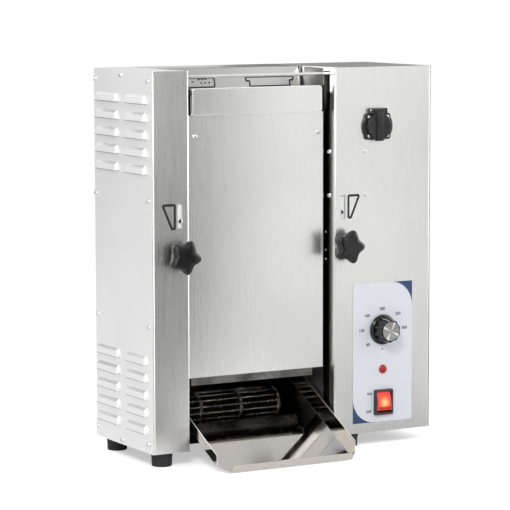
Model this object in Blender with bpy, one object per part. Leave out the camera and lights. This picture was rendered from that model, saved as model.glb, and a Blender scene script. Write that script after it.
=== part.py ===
"""A vertical contact toaster for buns, modelled as the separate pieces that it is assembled from.

Lengths are in metres. The places below are measured in the toaster's own frame: x from its left side,
y backwards from the fronts of its two columns, z up from the underside of its body. A width called
"out" is measured from the middle of the opening between the columns, towards either column.
The finished model stands on its feet at height zero, centred over the origin.
"""

import math

import bmesh
import bpy
from mathutils import Matrix, Vector

# Sheet metal and fits
SHEET = 0.0012
BASE_SHEET = 0.0015
BRACKET_SHEET = 0.002
FIT = 0.0003
RUN_FIT = 0.0005
OVERRUN = 0.002
SMOOTH_ANGLE = math.radians(32)
BEND = 0.001
BEND_STEPS = 2

# Body
BODY_WIDTH = 0.516
BODY_HEIGHT = 0.600
BODY_DEPTH = 0.202
LEFT_COLUMN = 0.065
RIGHT_COLUMN = 0.185
OPENING_HALF = (BODY_WIDTH - LEFT_COLUMN - RIGHT_COLUMN) / 2
CENTRE_X = LEFT_COLUMN + OPENING_HALF
SIDE_FLANGE = 0.025
CAP_FLANGE = 0.012
REAR_FLANGE = 0.018
BASE_FLANGE = 0.018
CROSS_MEMBER_SETBACK = 0.055
CROSS_MEMBER_HEIGHT = 0.020

# Heights of the two rollers, which the pieces between them follow
IDLER_DROP = 0.075
IDLER_HEIGHT = BODY_HEIGHT - IDLER_DROP
DRIVE_HEIGHT = 0.155

# Feet
FOOT_HEIGHT = 0.022
FOOT_RADIUS = 0.017
FOOT_TOE_RADIUS = 0.0155
FOOT_EDGE = 0.0015
FOOT_IN = 0.026
FOOT_SETBACK = 0.022

# Louvres in the side panels
LOUVRE_ROWS = 5
LOUVRE_PITCH = 0.0274
LOUVRE_HEIGHT = 0.013
LOUVRE_DEPTH = 0.006
LOUVRE_END = 0.004
LOUVRE_SLIT = 0.0005
LOUVRE_SKIN = 0.001
LOUVRE_FRONT_START = 0.018
LOUVRE_FRONT_LENGTH = 0.070
LOUVRE_REAR_START = 0.116
LOUVRE_REAR_LENGTH = 0.077
LOUVRE_UPPER_DROP = 0.1600
LOUVRE_UPPER_FOOT = BODY_HEIGHT - LOUVRE_UPPER_DROP
LOUVRE_LOWER_FOOT = 0.0310
LOUVRE_ARC_STEPS = 2
LOUVRE_END_shares = ((0.0, 0.5), (1.0, 1.0))

# Front cover with its folded lip and feed guide
COVER_SETBACK = 0.020
COVER_SIDE_GAP = 0.008
COVER_WIDTH = 2 * (OPENING_HALF - COVER_SIDE_GAP)
COVER_FOOT = 0.113
COVER_DROP = 0.040
COVER_TOP = BODY_HEIGHT - COVER_DROP
COVER_FLANGE = 0.013
LIP_INSET = 0.007
LIP_WIDTH = COVER_WIDTH - 2 * LIP_INSET
LIP_OVERLAP = 0.031
LIP_FOOT = COVER_TOP - LIP_OVERLAP
LIP_RISE = 0.0115
LIP_TOP = COVER_TOP + LIP_RISE
LIP_PROUD = 0.005
LIP_CORNER = 0.005
GUIDE_REACH = 0.029
GUIDE_DROP = 0.045

# Guard rod across the mouth
GUARD_RADIUS = 0.0025
GUARD_SETBACK = 0.018
GUARD_DROP = 0.010
GUARD_HEIGHT = BODY_HEIGHT - GUARD_DROP

# Feed plate, which turns into the middle part of the top
FEED_FOLD_SETBACK = 0.110
FEED_EDGE_SETBACK = 0.0985
FEED_EDGE_RISE = 0.0320
FEED_EDGE_HEIGHT = IDLER_HEIGHT + FEED_EDGE_RISE
FEED_SIDE_GAP = 0.0042
FEED_FLANGE = 0.012

# Platen, heating element and insulation
PLATEN_SIDE_GAP = 0.021
PLATEN_WIDTH = 2 * (OPENING_HALF - PLATEN_SIDE_GAP)
PLATEN_SETBACK = 0.035
PLATEN_THICKNESS = 0.017
PLATEN_OVERHANG = 0.057
PLATEN_FOOT = DRIVE_HEIGHT - PLATEN_OVERHANG
PLATEN_DROP = 0.007
PLATEN_TOP = IDLER_HEIGHT - PLATEN_DROP
PLATEN_LEAD_IN = 0.010
PLATEN_EDGE = 0.0015
ELEMENT_RADIUS = 0.0033
ELEMENT_LEGS = 4
ELEMENT_PITCH = 0.060
ELEMENT_FOOT_INSET = 0.024
ELEMENT_FOOT = PLATEN_FOOT + ELEMENT_FOOT_INSET
ELEMENT_TOP_INSET = 0.018
ELEMENT_TOP = PLATEN_TOP - ELEMENT_TOP_INSET
ELEMENT_SIDES = 8
ELEMENT_BEND_STEPS = 6
INSULATION_INSET = 0.006
INSULATION_WIDTH = PLATEN_WIDTH - 2 * INSULATION_INSET
INSULATION_THICKNESS = 0.0050
INSULATION_FOOT_INSET = 0.020
INSULATION_FOOT = PLATEN_FOOT + INSULATION_FOOT_INSET
INSULATION_TOP_INSET = 0.013
INSULATION_TOP = PLATEN_TOP - INSULATION_TOP_INSET
BRACKET_FOOT_INSET = 0.018
BRACKET_FOOT = PLATEN_FOOT + BRACKET_FOOT_INSET
BRACKET_TOP_INSET = 0.006
BRACKET_TOP = PLATEN_TOP - BRACKET_TOP_INSET
BRACKET_WEB_SETBACK = 0.036
BRACKET_WALL_REACH = 0.022
BRACKET_TAB_GAP = 0.025
BRACKET_TAB_OUT = OPENING_HALF - BRACKET_TAB_GAP
BRACKET_LEG_GAP = 0.011
BRACKET_LEG_OUT = OPENING_HALF - BRACKET_LEG_GAP

# Thermostat bulb and its tube
BULB_RADIUS = 0.003
BULB_LENGTH = 0.050
BULB_DEPTH = 0.045
BULB_HEIGHT = 0.250
BULB_SETBACK = 0.0445
CAPILLARY_RADIUS = 0.0012
CAPILLARY_SIDES = 6
CAPILLARY_STEPS = 10
CAPILLARY_HOLE = 0.005

# Conveyor: side plates, rollers, bushes and wire belt
CONVEYOR_PLATE_GAP = 0.013
CONVEYOR_PLATE_OUT = OPENING_HALF - CONVEYOR_PLATE_GAP
CONVEYOR_PLATE_SETBACK = 0.064
CONVEYOR_PLATE_REAR = 0.186
CONVEYOR_PLATE_BELOW = 0.037
CONVEYOR_PLATE_FOOT = DRIVE_HEIGHT - CONVEYOR_PLATE_BELOW
CONVEYOR_PLATE_ABOVE = 0.021
CONVEYOR_PLATE_TOP = IDLER_HEIGHT + CONVEYOR_PLATE_ABOVE
ROLLER_RADIUS = 0.024
ROLLER_GROOVE = 0.0015
ROLLER_BAND = 0.010
SHAFT_RADIUS = 0.005
SHAFT_SETBACK = 0.105
SHAFT_STUB = 0.005
BUSH_RADIUS = 0.0085
BUSH_FLANGE_RADIUS = 0.012
BUSH_FLANGE = 0.0015
ROUND_STEPS = 24
SMALL_STEPS = 12
ROLLER_STEPS = 16
BELT_SIDE_GAP = 0.019
BELT_HALF_WIDTH = OPENING_HALF - BELT_SIDE_GAP
BELT_WIRE = 0.003
BELT_SEAT = 0.0013
BELT_CELLS = 52
BELT_LANES = 3

# Pressure plates behind the belt
PRESS_PLATE_SIDE_GAP = 0.029
PRESS_PLATE_WIDTH = OPENING_HALF - PRESS_PLATE_SIDE_GAP
PRESS_PLATE_END_GAP = 0.037
PRESS_PLATE_FOOT = DRIVE_HEIGHT + PRESS_PLATE_END_GAP
PRESS_PLATE_TOP = IDLER_HEIGHT - PRESS_PLATE_END_GAP
PRESS_PLATE_LEAD_IN = 0.014
PRESS_PLATE_LEAD_IN_SET = 0.008
PRESS_PLATE_MIDDLE_GAP = 0.004
PRESS_PLATE_CLEARANCE = 0.0014
PRESS_PLATE_FLANGE = 0.004

# Thickness adjusters
KNOB_FROM_OPENING = 0.017
KNOB_OUT = OPENING_HALF + KNOB_FROM_OPENING
KNOB_HEIGHT = 0.311
ADJUST_DOWN = 0.0065
ADJUST_UP = 0.0230
LEAD_PER_RADIAN = 0.0032
TOOTH_MODULE = 0.001
PINION_TEETH = 16
TOOTH_BACKLASH_share = 0.12
TOOTH_TOP_share = 0.55
TOOTH_MIDDLE_share = 0.5
TOOTH_ROOT_CLEARANCES = 2
PRESSURE_ANGLE = math.radians(20)
RACK_TEETH = 14
RACK_BAR = 0.0030
PINION_START = 0.005
PINION_WIDTH = 0.006
SPINDLE_RADIUS = 0.006
SPINDLE_TIP_RADIUS = 0.004
REAR_LEAF_SETBACK = 0.122
SPINDLE_OVERHANG = 0.004
SPINDLE_END = REAR_LEAF_SETBACK + SPINDLE_OVERHANG
SPINDLE_HOLE = 0.007
LEAF_SETBACK = 0.012
LEAF_INNER_REACH = 0.032
ADJUSTER_BRACKET_BELOW = 0.025
ADJUSTER_BRACKET_FOOT = KNOB_HEIGHT - ADJUSTER_BRACKET_BELOW
ADJUSTER_BRACKET_ABOVE = 0.092
ADJUSTER_BRACKET_TOP = KNOB_HEIGHT + ADJUSTER_BRACKET_ABOVE
NUT_SIDE = 0.016
NUT_LENGTH = 0.020
ARM_THICKNESS = 0.010
ARM_HEIGHT = 0.020
ARM_PAD_HEIGHT = 0.044
ARM_PAD_WIDTH = 0.050
ARM_PAD_THICKNESS = 0.003
SLOT_INSET = 0.0014
SLOT_OUT = KNOB_OUT - SLOT_INSET
SLOT_WIDTH = 0.010
SLOT_FOOT_RISE = 0.0435
SLOT_FOOT = KNOB_HEIGHT + SLOT_FOOT_RISE
SLOT_TOP_RISE = 0.083
SLOT_TOP = KNOB_HEIGHT + SLOT_TOP_RISE
SLOT_CORNER = 0.0015
POINTER_RISE = 0.055
POINTER_HEIGHT = KNOB_HEIGHT + POINTER_RISE
POINTER_LENGTH = 0.007
POINTER_HALF_RISE = 0.0040
POINTER_PLATE = 0.0012
POINTER_STEM_WIDTH = 0.004

# Star knobs
STAR_LOBES = 5
STAR_RADIUS = 0.026
STAR_VALLEY_RADIUS = 0.0168
STAR_FRONT = 0.027
STAR_BACK = 0.0085
STAR_HUB_RADIUS = 0.0105
STAR_HUB_CLEARANCE = 0.0015
STAR_POINTS_PER_LOBE = 7
STAR_BORE_DEPTH = 0.018
STAR_DOME_shares = ((0.0, 0.86), (0.12, 0.97), (0.5, 1.0), (0.80, 0.93), (0.95, 0.72), (1.0, 0.42))
LEFT_STAR_TURN = math.radians(-8)
RIGHT_STAR_TURN = 0.0

# Control side of the right column
SOCKET_FROM_RIGHT = 0.105
SOCKET_X = BODY_WIDTH - SOCKET_FROM_RIGHT
SOCKET_DROP = 0.0965
SOCKET_HEIGHT = BODY_HEIGHT - SOCKET_DROP
SOCKET_FLANGE_WIDTH = 0.048
SOCKET_FLANGE_HEIGHT = 0.043
SOCKET_FLANGE_CORNER = 0.005
SOCKET_FLANGE_PROUD = 0.0045
SOCKET_BARREL_RADIUS = 0.0205
SOCKET_BARREL_DEPTH = 0.024
SOCKET_CUP_RADIUS = 0.0185
SOCKET_CUP_DEPTH = 0.016
SOCKET_PIN_SPREAD = 0.0095
SOCKET_PIN_HOLE = 0.0026
SOCKET_LUG_WIDTH = 0.006
SOCKET_LUG_OUT = 0.017
HINGE_RISE = 0.0265
HINGE_PROUD = 0.0075
HINGE_RADIUS = 0.0032
HINGE_PIN_RADIUS = 0.0013
LID_RADIUS = 0.0225
LID_PROUD = 0.0100
LID_BACK = 0.0050
LID_EDGE = 0.0015
LID_BAND_WIDTH = 0.013
LID_BAND_PROUD = 0.0015
LID_TAB_WIDTH = 0.016
LID_TAB_DROP = 0.0235
LID_TAB_THICKNESS = 0.003
OVERLAY_LEFT_FROM_RIGHT = 0.1496
OVERLAY_LEFT = BODY_WIDTH - OVERLAY_LEFT_FROM_RIGHT
OVERLAY_RIGHT_FROM_RIGHT = 0.0357
OVERLAY_RIGHT = BODY_WIDTH - OVERLAY_RIGHT_FROM_RIGHT
OVERLAY_FOOT = 0.0164
OVERLAY_TOP = 0.247
OVERLAY_THICKNESS = 0.0005
OVERLAY_CORNER = 0.002
DIAL_FROM_RIGHT = 0.0935
DIAL_X = BODY_WIDTH - DIAL_FROM_RIGHT
DIAL_HEIGHT = 0.1695
DIAL_HOLE = 0.005
DIAL_SHAFT = 0.003
DIAL_SHAFT_DEPTH = 0.012
DIAL_SKIRT_RADIUS = 0.024
DIAL_SKIRT_BACK = 0.0015
DIAL_SKIRT_FRONT = 0.0055
DIAL_GRIP_RADIUS = 0.0190
DIAL_GRIP_FRONT = 0.0280
DIAL_GRIP_TAPER_share = 0.93
DIAL_FLUTES = 10
DIAL_FLUTE_DEPTH = 0.0011
DIAL_POINTS_PER_FLUTE = 4
DIAL_CAP_RADIUS = 0.0155
DIAL_CAP_DEPTH = 0.0016
DIAL_CAP_PROUD = 0.0006
THERMOSTAT_SETBACK = 0.0015
THERMOSTAT_WIDTH = 0.034
THERMOSTAT_HEIGHT = 0.040
THERMOSTAT_DEPTH = 0.030
LAMP_FROM_RIGHT = 0.0928
LAMP_X = BODY_WIDTH - LAMP_FROM_RIGHT
LAMP_HEIGHT = 0.1037
LAMP_FLANGE_RADIUS = 0.0068
LAMP_LENS_RADIUS = 0.0052
LAMP_PROUD = 0.0060
LAMP_FLANGE = 0.0016
LAMP_BODY_RADIUS = 0.0048
LAMP_BODY_DEPTH = 0.026
ROCKER_FROM_RIGHT = 0.092
ROCKER_X = BODY_WIDTH - ROCKER_FROM_RIGHT
ROCKER_HEIGHT = 0.049
ROCKER_BEZEL_WIDTH = 0.035
ROCKER_BEZEL_HEIGHT = 0.042
ROCKER_BEZEL_PROUD = 0.0065
ROCKER_WALL = 0.0035
ROCKER_WELL_WALL = 0.0015
ROCKER_WELL_DEPTH = 0.024
ROCKER_AXIS_DEPTH = 0.004
ROCKER_PROUD = 0.0085
ROCKER_TILT = math.radians(12)
ROCKER_SIDE_GAP = 0.0005
ROCKER_END_GAP = 0.0022
ROCKER_BODY_DEPTH = 0.012
ROCKER_BACK_share = 0.55

# Drive and wiring in the right column
MOTOR_FROM_RIGHT = 0.158
MOTOR_X = BODY_WIDTH - MOTOR_FROM_RIGHT
GEARBOX_LENGTH = 0.040
GEARBOX_WIDTH = 0.060
GEARBOX_HEIGHT = 0.070
MOTOR_RADIUS = 0.027
MOTOR_LENGTH = 0.085
MOTOR_POST = 0.004
MOTOR_POST_INSET = 0.007
MOTOR_POST_SIDES = 6
COUPLING_START_FROM_RIGHT = 0.180
COUPLING_START = BODY_WIDTH - COUPLING_START_FROM_RIGHT
COUPLING_RADIUS = 0.010
COUPLING_LENGTH = 0.020
COUPLING_DEPTH = 0.009
DRIVE_HOLE = 0.008
TERMINAL_FROM_RIGHT = 0.076
TERMINAL_X = BODY_WIDTH - TERMINAL_FROM_RIGHT
TERMINAL_SETBACK = 0.150
TERMINAL_PITCH = 0.012
TERMINAL_WAYS = 5
TERMINAL_DEPTH = 0.022
TERMINAL_HEIGHT = 0.018
TERMINAL_STEP = 0.007
GLAND_FROM_RIGHT = 0.071
GLAND_X = BODY_WIDTH - GLAND_FROM_RIGHT
GLAND_HEIGHT = 0.060
GLAND_NUT_RADIUS = 0.012
GLAND_NUT_LENGTH = 0.006
GLAND_DOME_RADIUS = 0.0095
GLAND_LENGTH = 0.018
GLAND_THREAD_RADIUS = 0.008
GLAND_THREAD_DEPTH = 0.010
GLAND_BORE = 0.004
GLAND_MOUTH_share = 0.75

# Landing tray and its rests
TRAY_SLOPE = math.radians(26.7)
TRAY_LEFT_GAP = 0.007
TRAY_LEFT = LEFT_COLUMN + TRAY_LEFT_GAP
TRAY_RIGHT_GAP = 0.006
TRAY_WIDTH = 2 * OPENING_HALF - TRAY_LEFT_GAP - TRAY_RIGHT_GAP
TRAY_SHEET = 0.001
TRAY_FLANGE = 0.0155
TRAY_LIP = 0.0135
TRAY_LIP_CORNER = 0.006
TRAY_CORNER_CUT = 0.017
TRAY_FRONT_REACH = 0.092
TRAY_FRONT_DROP = 0.0208
TRAY_REAR = 0.135
REST_START = 0.006
REST_END = 0.050
REST_REACH = 0.018
REST_WALL = 0.012

# Places worked out from the sizes above
GLAND_REAR = BODY_DEPTH + GLAND_LENGTH
TRAY_FRONT_MOST = -TRAY_FRONT_REACH - TRAY_LIP * math.sin(TRAY_SLOPE)
MID_DEPTH = (GLAND_REAR + TRAY_FRONT_MOST) / 2
PLATEN_FACE = PLATEN_SETBACK + PLATEN_THICKNESS
BELT_RADIUS = ROLLER_RADIUS + BELT_SEAT + BELT_WIRE / 2
BELT_FRONT_BACK = SHAFT_SETBACK - BELT_RADIUS + BELT_WIRE / 2
PINION_RADIUS = TOOTH_MODULE * PINION_TEETH / 2
PRESS_PLATE_SETBACK = BELT_FRONT_BACK + PRESS_PLATE_CLEARANCE + ADJUST_DOWN / PINION_RADIUS * LEAD_PER_RADIAN
ARM_SETBACK = PRESS_PLATE_SETBACK + SHEET + FIT + ARM_PAD_THICKNESS


def place(x, y, z):
    """A point of the toaster's own frame, in the finished model's."""
    return Vector((x - BODY_WIDTH / 2, y - MID_DEPTH, z + FOOT_HEIGHT))


def material(name, colour, roughness, metallic):
    made = bpy.data.materials.new(name)
    made.use_nodes = True
    shader = made.node_tree.nodes["Principled BSDF"]
    shader.inputs["Base Color"].default_value = (*colour, 1.0)
    shader.inputs["Roughness"].default_value = roughness
    shader.inputs["Metallic"].default_value = metallic
    return made


FINISHES = {
    "brushed": ((0.52, 0.52, 0.53), 0.34, 1.0),
    "polished": ((0.70, 0.70, 0.71), 0.12, 1.0),
    "cast": ((0.42, 0.42, 0.43), 0.45, 1.0),
    "steel": ((0.45, 0.45, 0.46), 0.30, 1.0),
    "dark": ((0.06, 0.06, 0.065), 0.55, 0.6),
    "black": ((0.012, 0.012, 0.013), 0.28, 0.0),
    "rubber": ((0.02, 0.02, 0.02), 0.75, 0.0),
    "brass": ((0.60, 0.42, 0.18), 0.32, 1.0),
    "board": ((0.70, 0.67, 0.60), 0.90, 0.0),
    "print": ((0.70, 0.74, 0.82), 0.40, 0.0),
    "red": ((0.62, 0.03, 0.02), 0.18, 0.0),
    "cream": ((0.72, 0.70, 0.62), 0.50, 0.0),
}


def solid(name, mesh, finish, origin=(0.0, 0.0, 0.0)):
    """Makes an object of a mesh drawn in the toaster's frame, with the object's origin at one of its points."""
    bmesh.ops.translate(mesh, verts=mesh.verts, vec=-Vector(origin))
    bmesh.ops.recalc_face_normals(mesh, faces=mesh.faces)
    data = bpy.data.meshes.new(name)
    mesh.to_mesh(data)
    mesh.free()
    data.shade_smooth()
    data.set_sharp_from_angle(angle=SMOOTH_ANGLE)
    made = bpy.data.objects.new(name, data)
    bpy.context.scene.collection.objects.link(made)
    made.location = place(*origin)
    if finish:
        data.materials.append(material(name, *FINISHES[finish]))
    return made


def helper(name, mesh, origin=(0.0, 0.0, 0.0)):
    """A shape that only cuts or joins another one."""
    made = solid(name, mesh, None, origin)
    made.hide_render = True
    made.display_type = "WIRE"
    return made


def combine(target, mesh, operation):
    """Joins a drawn mesh to an object, or cuts it away from it."""
    order = len(target.modifiers)
    tool = helper(f"{target.name}_{operation.lower()}_{order}", mesh)
    step = target.modifiers.new(f"{operation.lower()}_{order}", "BOOLEAN")
    step.operation = operation
    step.solver = "EXACT"
    step.object = tool
    return target


def cut(target, mesh):
    return combine(target, mesh, "DIFFERENCE")


def join(target, mesh):
    return combine(target, mesh, "UNION")


def add_box(mesh, low, high):
    middle = (Vector(low) + Vector(high)) / 2
    size = Vector(high) - Vector(low)
    frame = Matrix.Translation(middle) @ Matrix.Diagonal((*size, 1.0))
    bmesh.ops.create_cube(mesh, size=1, matrix=frame)
    return mesh


def box(low, high):
    return add_box(bmesh.new(), low, high)


AXIS_ORDER = {"X": lambda u, v, w: (w, u, v), "Y": lambda u, v, w: (u, w, v), "Z": lambda u, v, w: (u, v, w)}


def add_prism(mesh, outline, axis, start, end):
    """Carries a closed outline along an axis. Its points are (y, z), (x, z) or (x, y)."""
    order = AXIS_ORDER[axis]
    near = [mesh.verts.new(order(u, v, start)) for u, v in outline]
    far = [mesh.verts.new(order(u, v, end)) for u, v in outline]
    mesh.faces.new(near)
    mesh.faces.new(far[::-1])
    for i in range(len(outline)):
        j = (i + 1) % len(outline)
        mesh.faces.new((near[i], far[i], far[j], near[j]))
    return mesh


def prism(outline, axis, start, end):
    return add_prism(bmesh.new(), outline, axis, start, end)


def add_turned(mesh, profile, axis, centre, steps=ROUND_STEPS, closed=False):
    """Turns a profile of (radius, distance along the axis) points. A closed profile leaves a bore."""
    order = AXIS_ORDER[axis]
    across = [c for i, c in enumerate(centre) if "XYZ"[i] != axis]
    rings = []
    for radius, along in profile:
        if radius == 0:
            rings.append([mesh.verts.new(order(across[0], across[1], along))])
            continue
        ring = []
        for i in range(steps):
            angle = 2 * math.pi * i / steps
            ring.append(mesh.verts.new(order(
                across[0] + radius * math.cos(angle), across[1] + radius * math.sin(angle), along)))
        rings.append(ring)
    pairs = list(zip(rings, rings[1:]))
    if closed:
        pairs.append((rings[-1], rings[0]))
    for first, second in pairs:
        for i in range(steps):
            j = (i + 1) % steps
            corners = [first[i % len(first)], first[j % len(first)], second[j % len(second)], second[i % len(second)]]
            mesh.faces.new(list(dict.fromkeys(corners)))
    return mesh


def turned(profile, axis, centre, steps=ROUND_STEPS, closed=False):
    return add_turned(bmesh.new(), profile, axis, centre, steps, closed)


def add_rod(mesh, radius, axis, centre, start, end, steps=ROUND_STEPS):
    return add_turned(mesh, ((0, start), (radius, start), (radius, end), (0, end)), axis, centre, steps)


def rod(radius, axis, centre, start, end, steps=ROUND_STEPS):
    return add_rod(bmesh.new(), radius, axis, centre, start, end, steps)


def filleted(points, radii, steps, closed):
    """A polyline with its corners rounded."""
    rounded = []
    count = len(points)
    for i, point in enumerate(points):
        corner = Vector(point)
        if radii[i] == 0 or (not closed and i in (0, count - 1)):
            rounded.append(tuple(corner))
            continue
        before = (Vector(points[i - 1]) - corner).normalized()
        after = (Vector(points[(i + 1) % count]) - corner).normalized()
        half = before.angle(after) / 2
        reach = radii[i] / math.tan(half)
        middle = corner + (before + after).normalized() * radii[i] / math.sin(half)
        first = corner + before * reach - middle
        last = corner + after * reach - middle
        turn = math.atan2(first.x * last.y - first.y * last.x, first.dot(last))
        for k in range(steps + 1):
            rounded.append(tuple(middle + Matrix.Rotation(turn * k / steps, 2) @ first))
    return rounded


def rounded_box(left, right, foot, top, radius, steps=4):
    corners = ((left, foot), (right, foot), (right, top), (left, top))
    return filleted(corners, [radius] * len(corners), steps, True)


def folded(path, thickness, bend=BEND):
    """The section of a sheet folded along a path, which is the face on the path's right side."""
    count = len(path)
    points = [Vector(p) for p in path]
    other = []
    outer_radii = []
    inner_radii = []
    for i, point in enumerate(points):
        ways = []
        if i > 0:
            ways.append((point - points[i - 1]).normalized())
        if i < count - 1:
            ways.append((points[i + 1] - point).normalized())
        normals = [Vector((-way.y, way.x)) for way in ways]
        middle = sum(normals, Vector((0.0, 0.0))).normalized()
        other.append(point + middle * thickness / middle.dot(normals[0]))
        turn = ways[0].x * ways[-1].y - ways[0].y * ways[-1].x
        outer_radii.append(bend + thickness if turn > 0 else bend)
        inner_radii.append(bend if turn > 0 else bend + thickness)
    face = filleted(path, outer_radii, BEND_STEPS, False)
    back = filleted([tuple(p) for p in other], inner_radii, BEND_STEPS, False)
    return face + back[::-1]


def mirrored(outline, side):
    """An outline drawn in (out, y) or (out, z), set on one side of the opening between the columns."""
    return [(CENTRE_X + side * out, other) for out, other in outline]


def add_swept(mesh, points, radius, sides):
    """A round bar bent along points."""
    points = [Vector(p) for p in points]
    count = len(points)
    ways = []
    for i in range(count):
        ways.append((points[min(i + 1, count - 1)] - points[max(i - 1, 0)]).normalized())
    across = ways[0].orthogonal().normalized()
    rings = []
    for point, way in zip(points, ways):
        across = (across - way * across.dot(way)).normalized()
        up = way.cross(across)
        ring = []
        for k in range(sides):
            angle = 2 * math.pi * k / sides
            ring.append(mesh.verts.new(point + (across * math.cos(angle) + up * math.sin(angle)) * radius))
        rings.append(ring)
    mesh.faces.new(rings[0])
    mesh.faces.new(rings[-1][::-1])
    for first, second in zip(rings, rings[1:]):
        for k in range(sides):
            j = (k + 1) % sides
            mesh.faces.new((first[k], second[k], second[j], first[j]))
    return mesh


def wall_x(side, out):
    return CENTRE_X + side * out


def span(side, near, far):
    """The two ends of a stretch given by its outs, lower x first."""
    return sorted((wall_x(side, near), wall_x(side, far)))


def make_base_pan():
    front = SHEET + FIT
    inset = 2 * front
    right = BODY_WIDTH - inset
    rear = BODY_DEPTH - front
    notch_left = LEFT_COLUMN + FIT
    notch_right = BODY_WIDTH - RIGHT_COLUMN - FIT
    outline = (
        (inset, front), (notch_left, front), (notch_left, CROSS_MEMBER_SETBACK),
        (notch_right, CROSS_MEMBER_SETBACK), (notch_right, front), (right, front), (right, rear), (inset, rear),
    )
    pan = solid("base_pan", prism(outline, "Z", 0, BASE_SHEET), "dark")
    start = SIDE_FLANGE + FIT
    end = rear - REAR_FLANGE - FIT
    join(pan, box((inset, start, 0), (inset + BASE_SHEET, end, BASE_FLANGE)))
    join(pan, box((right - BASE_SHEET, start, 0), (right, end, BASE_FLANGE)))
    bend = CROSS_MEMBER_SETBACK
    join(pan, box((notch_left + FIT, bend, 0), (notch_right - FIT, bend + BASE_SHEET, CROSS_MEMBER_HEIGHT)))
    return pan


def column_shell(name, outer_x, side):
    """A column's front, folded back at the outside for the side panel and at the opening as its inner wall."""
    into = 1 if outer_x == 0 else -1
    flange_x = outer_x + into * (SHEET + FIT)
    inner_x = wall_x(side, OPENING_HALF)
    path = [(flange_x, SIDE_FLANGE), (flange_x, 0), (inner_x, 0), (inner_x, BODY_DEPTH - SHEET - FIT)]
    if into < 0:
        path = path[::-1]
    shell = solid(name, prism(folded(path, SHEET), "Z", 0, BODY_HEIGHT), "brushed")
    low, high = sorted((inner_x - side * OVERRUN, inner_x + side * (SHEET + BEND + OVERRUN)))
    cut(shell, box((low, SHEET + FIT, -OVERRUN), (high, BODY_DEPTH, BASE_SHEET + FIT)))
    return shell


def cut_adjuster_holes(shell, side):
    """Round hole for the spindle, window for the pointer and slot in the inner wall for the plate's arm."""
    centre = (wall_x(side, KNOB_OUT), 0, KNOB_HEIGHT)
    cut(shell, rod(SPINDLE_HOLE, "Y", centre, -OVERRUN, SHEET + OVERRUN, SMALL_STEPS))
    left, right = span(side, SLOT_OUT - SLOT_WIDTH / 2, SLOT_OUT + SLOT_WIDTH / 2)
    window = rounded_box(left, right, SLOT_FOOT, SLOT_TOP, SLOT_CORNER)
    cut(shell, prism(window, "Y", -OVERRUN, SHEET + OVERRUN))
    cut(shell, arm_slot(side, OPENING_HALF, SHEET))


def arm_travel():
    """How far a pressure plate goes forwards and back."""
    return (ADJUST_DOWN / PINION_RADIUS * LEAD_PER_RADIAN, ADJUST_UP / PINION_RADIUS * LEAD_PER_RADIAN)


def arm_slot(side, out, thickness):
    """A slot for the arm, through a wall that stands at an out."""
    forward, back = arm_travel()
    low, high = span(side, out - OVERRUN, out + thickness + OVERRUN)
    start = ARM_SETBACK - forward - RUN_FIT * 2
    end = ARM_SETBACK + ARM_THICKNESS + back + RUN_FIT * 2
    rise = ARM_HEIGHT / 2 + RUN_FIT * 2
    return box((low, start, KNOB_HEIGHT - rise), (high, end, KNOB_HEIGHT + rise))


def make_column_shells():
    left = column_shell("left_column_shell", 0, -1)
    right = column_shell("right_column_shell", BODY_WIDTH, 1)
    cut_adjuster_holes(left, -1)
    cut_adjuster_holes(right, 1)
    through = (-OVERRUN, SHEET + OVERRUN)
    cut(right, rod(SOCKET_BARREL_RADIUS + FIT, "Y", (SOCKET_X, 0, SOCKET_HEIGHT), *through))
    cut(right, rod(DIAL_HOLE, "Y", (DIAL_X, 0, DIAL_HEIGHT), *through, SMALL_STEPS))
    cut(right, rod(LAMP_BODY_RADIUS + FIT, "Y", (LAMP_X, 0, LAMP_HEIGHT), *through, ROLLER_STEPS))
    cut(right, rocker_opening(FIT, *through))
    inner = wall_x(1, OPENING_HALF)
    sideways = (inner - OVERRUN, inner + SHEET + OVERRUN)
    cut(right, rod(DRIVE_HOLE, "X", (0, SHAFT_SETBACK, DRIVE_HEIGHT), *sideways, SMALL_STEPS))
    cut(right, rod(CAPILLARY_HOLE, "X", (0, BULB_SETBACK, BULB_HEIGHT), *sideways, SMALL_STEPS))


def rocker_opening(play, start, end):
    half_width = ROCKER_BEZEL_WIDTH / 2 - ROCKER_WALL + ROCKER_WELL_WALL + play
    half_height = ROCKER_BEZEL_HEIGHT / 2 - ROCKER_WALL + ROCKER_WELL_WALL + play
    low = (ROCKER_X - half_width, start, ROCKER_HEIGHT - half_height)
    return box(low, (ROCKER_X + half_width, end, ROCKER_HEIGHT + half_height))


def add_louvre(mesh, outer_x, away, start, length, foot, skin, inside, reach):
    """One pressed louvre: a quarter-round hood with rounded ends, open along its foot. A skin shrinks it."""
    depth = LOUVRE_DEPTH - skin
    height = LOUVRE_HEIGHT - skin
    near = [(start + skin + LOUVRE_END * inset, swell) for inset, swell in LOUVRE_END_shares]
    far = [(start + length - skin - LOUVRE_END * inset, swell) for inset, swell in LOUVRE_END_shares[::-1]]
    rings = []
    for along, swell in near + far:
        ring = []
        for k in range(LOUVRE_ARC_STEPS + 1):
            angle = math.pi / 2 * k / LOUVRE_ARC_STEPS
            x = outer_x + away * depth * swell * math.sin(angle)
            ring.append(mesh.verts.new((x, along, foot + height * swell * math.cos(angle))))
        if reach:
            ring.append(mesh.verts.new((outer_x + away * depth * swell, along, foot - reach)))
        ring.append(mesh.verts.new((outer_x - away * inside, along, foot - reach)))
        ring.append(mesh.verts.new((outer_x - away * inside, along, foot + height * swell)))
        rings.append(ring)
    mesh.faces.new(rings[0])
    mesh.faces.new(rings[-1][::-1])
    for first, second in zip(rings, rings[1:]):
        for i in range(len(first)):
            j = (i + 1) % len(first)
            mesh.faces.new((first[i], second[i], second[j], first[j]))


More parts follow.
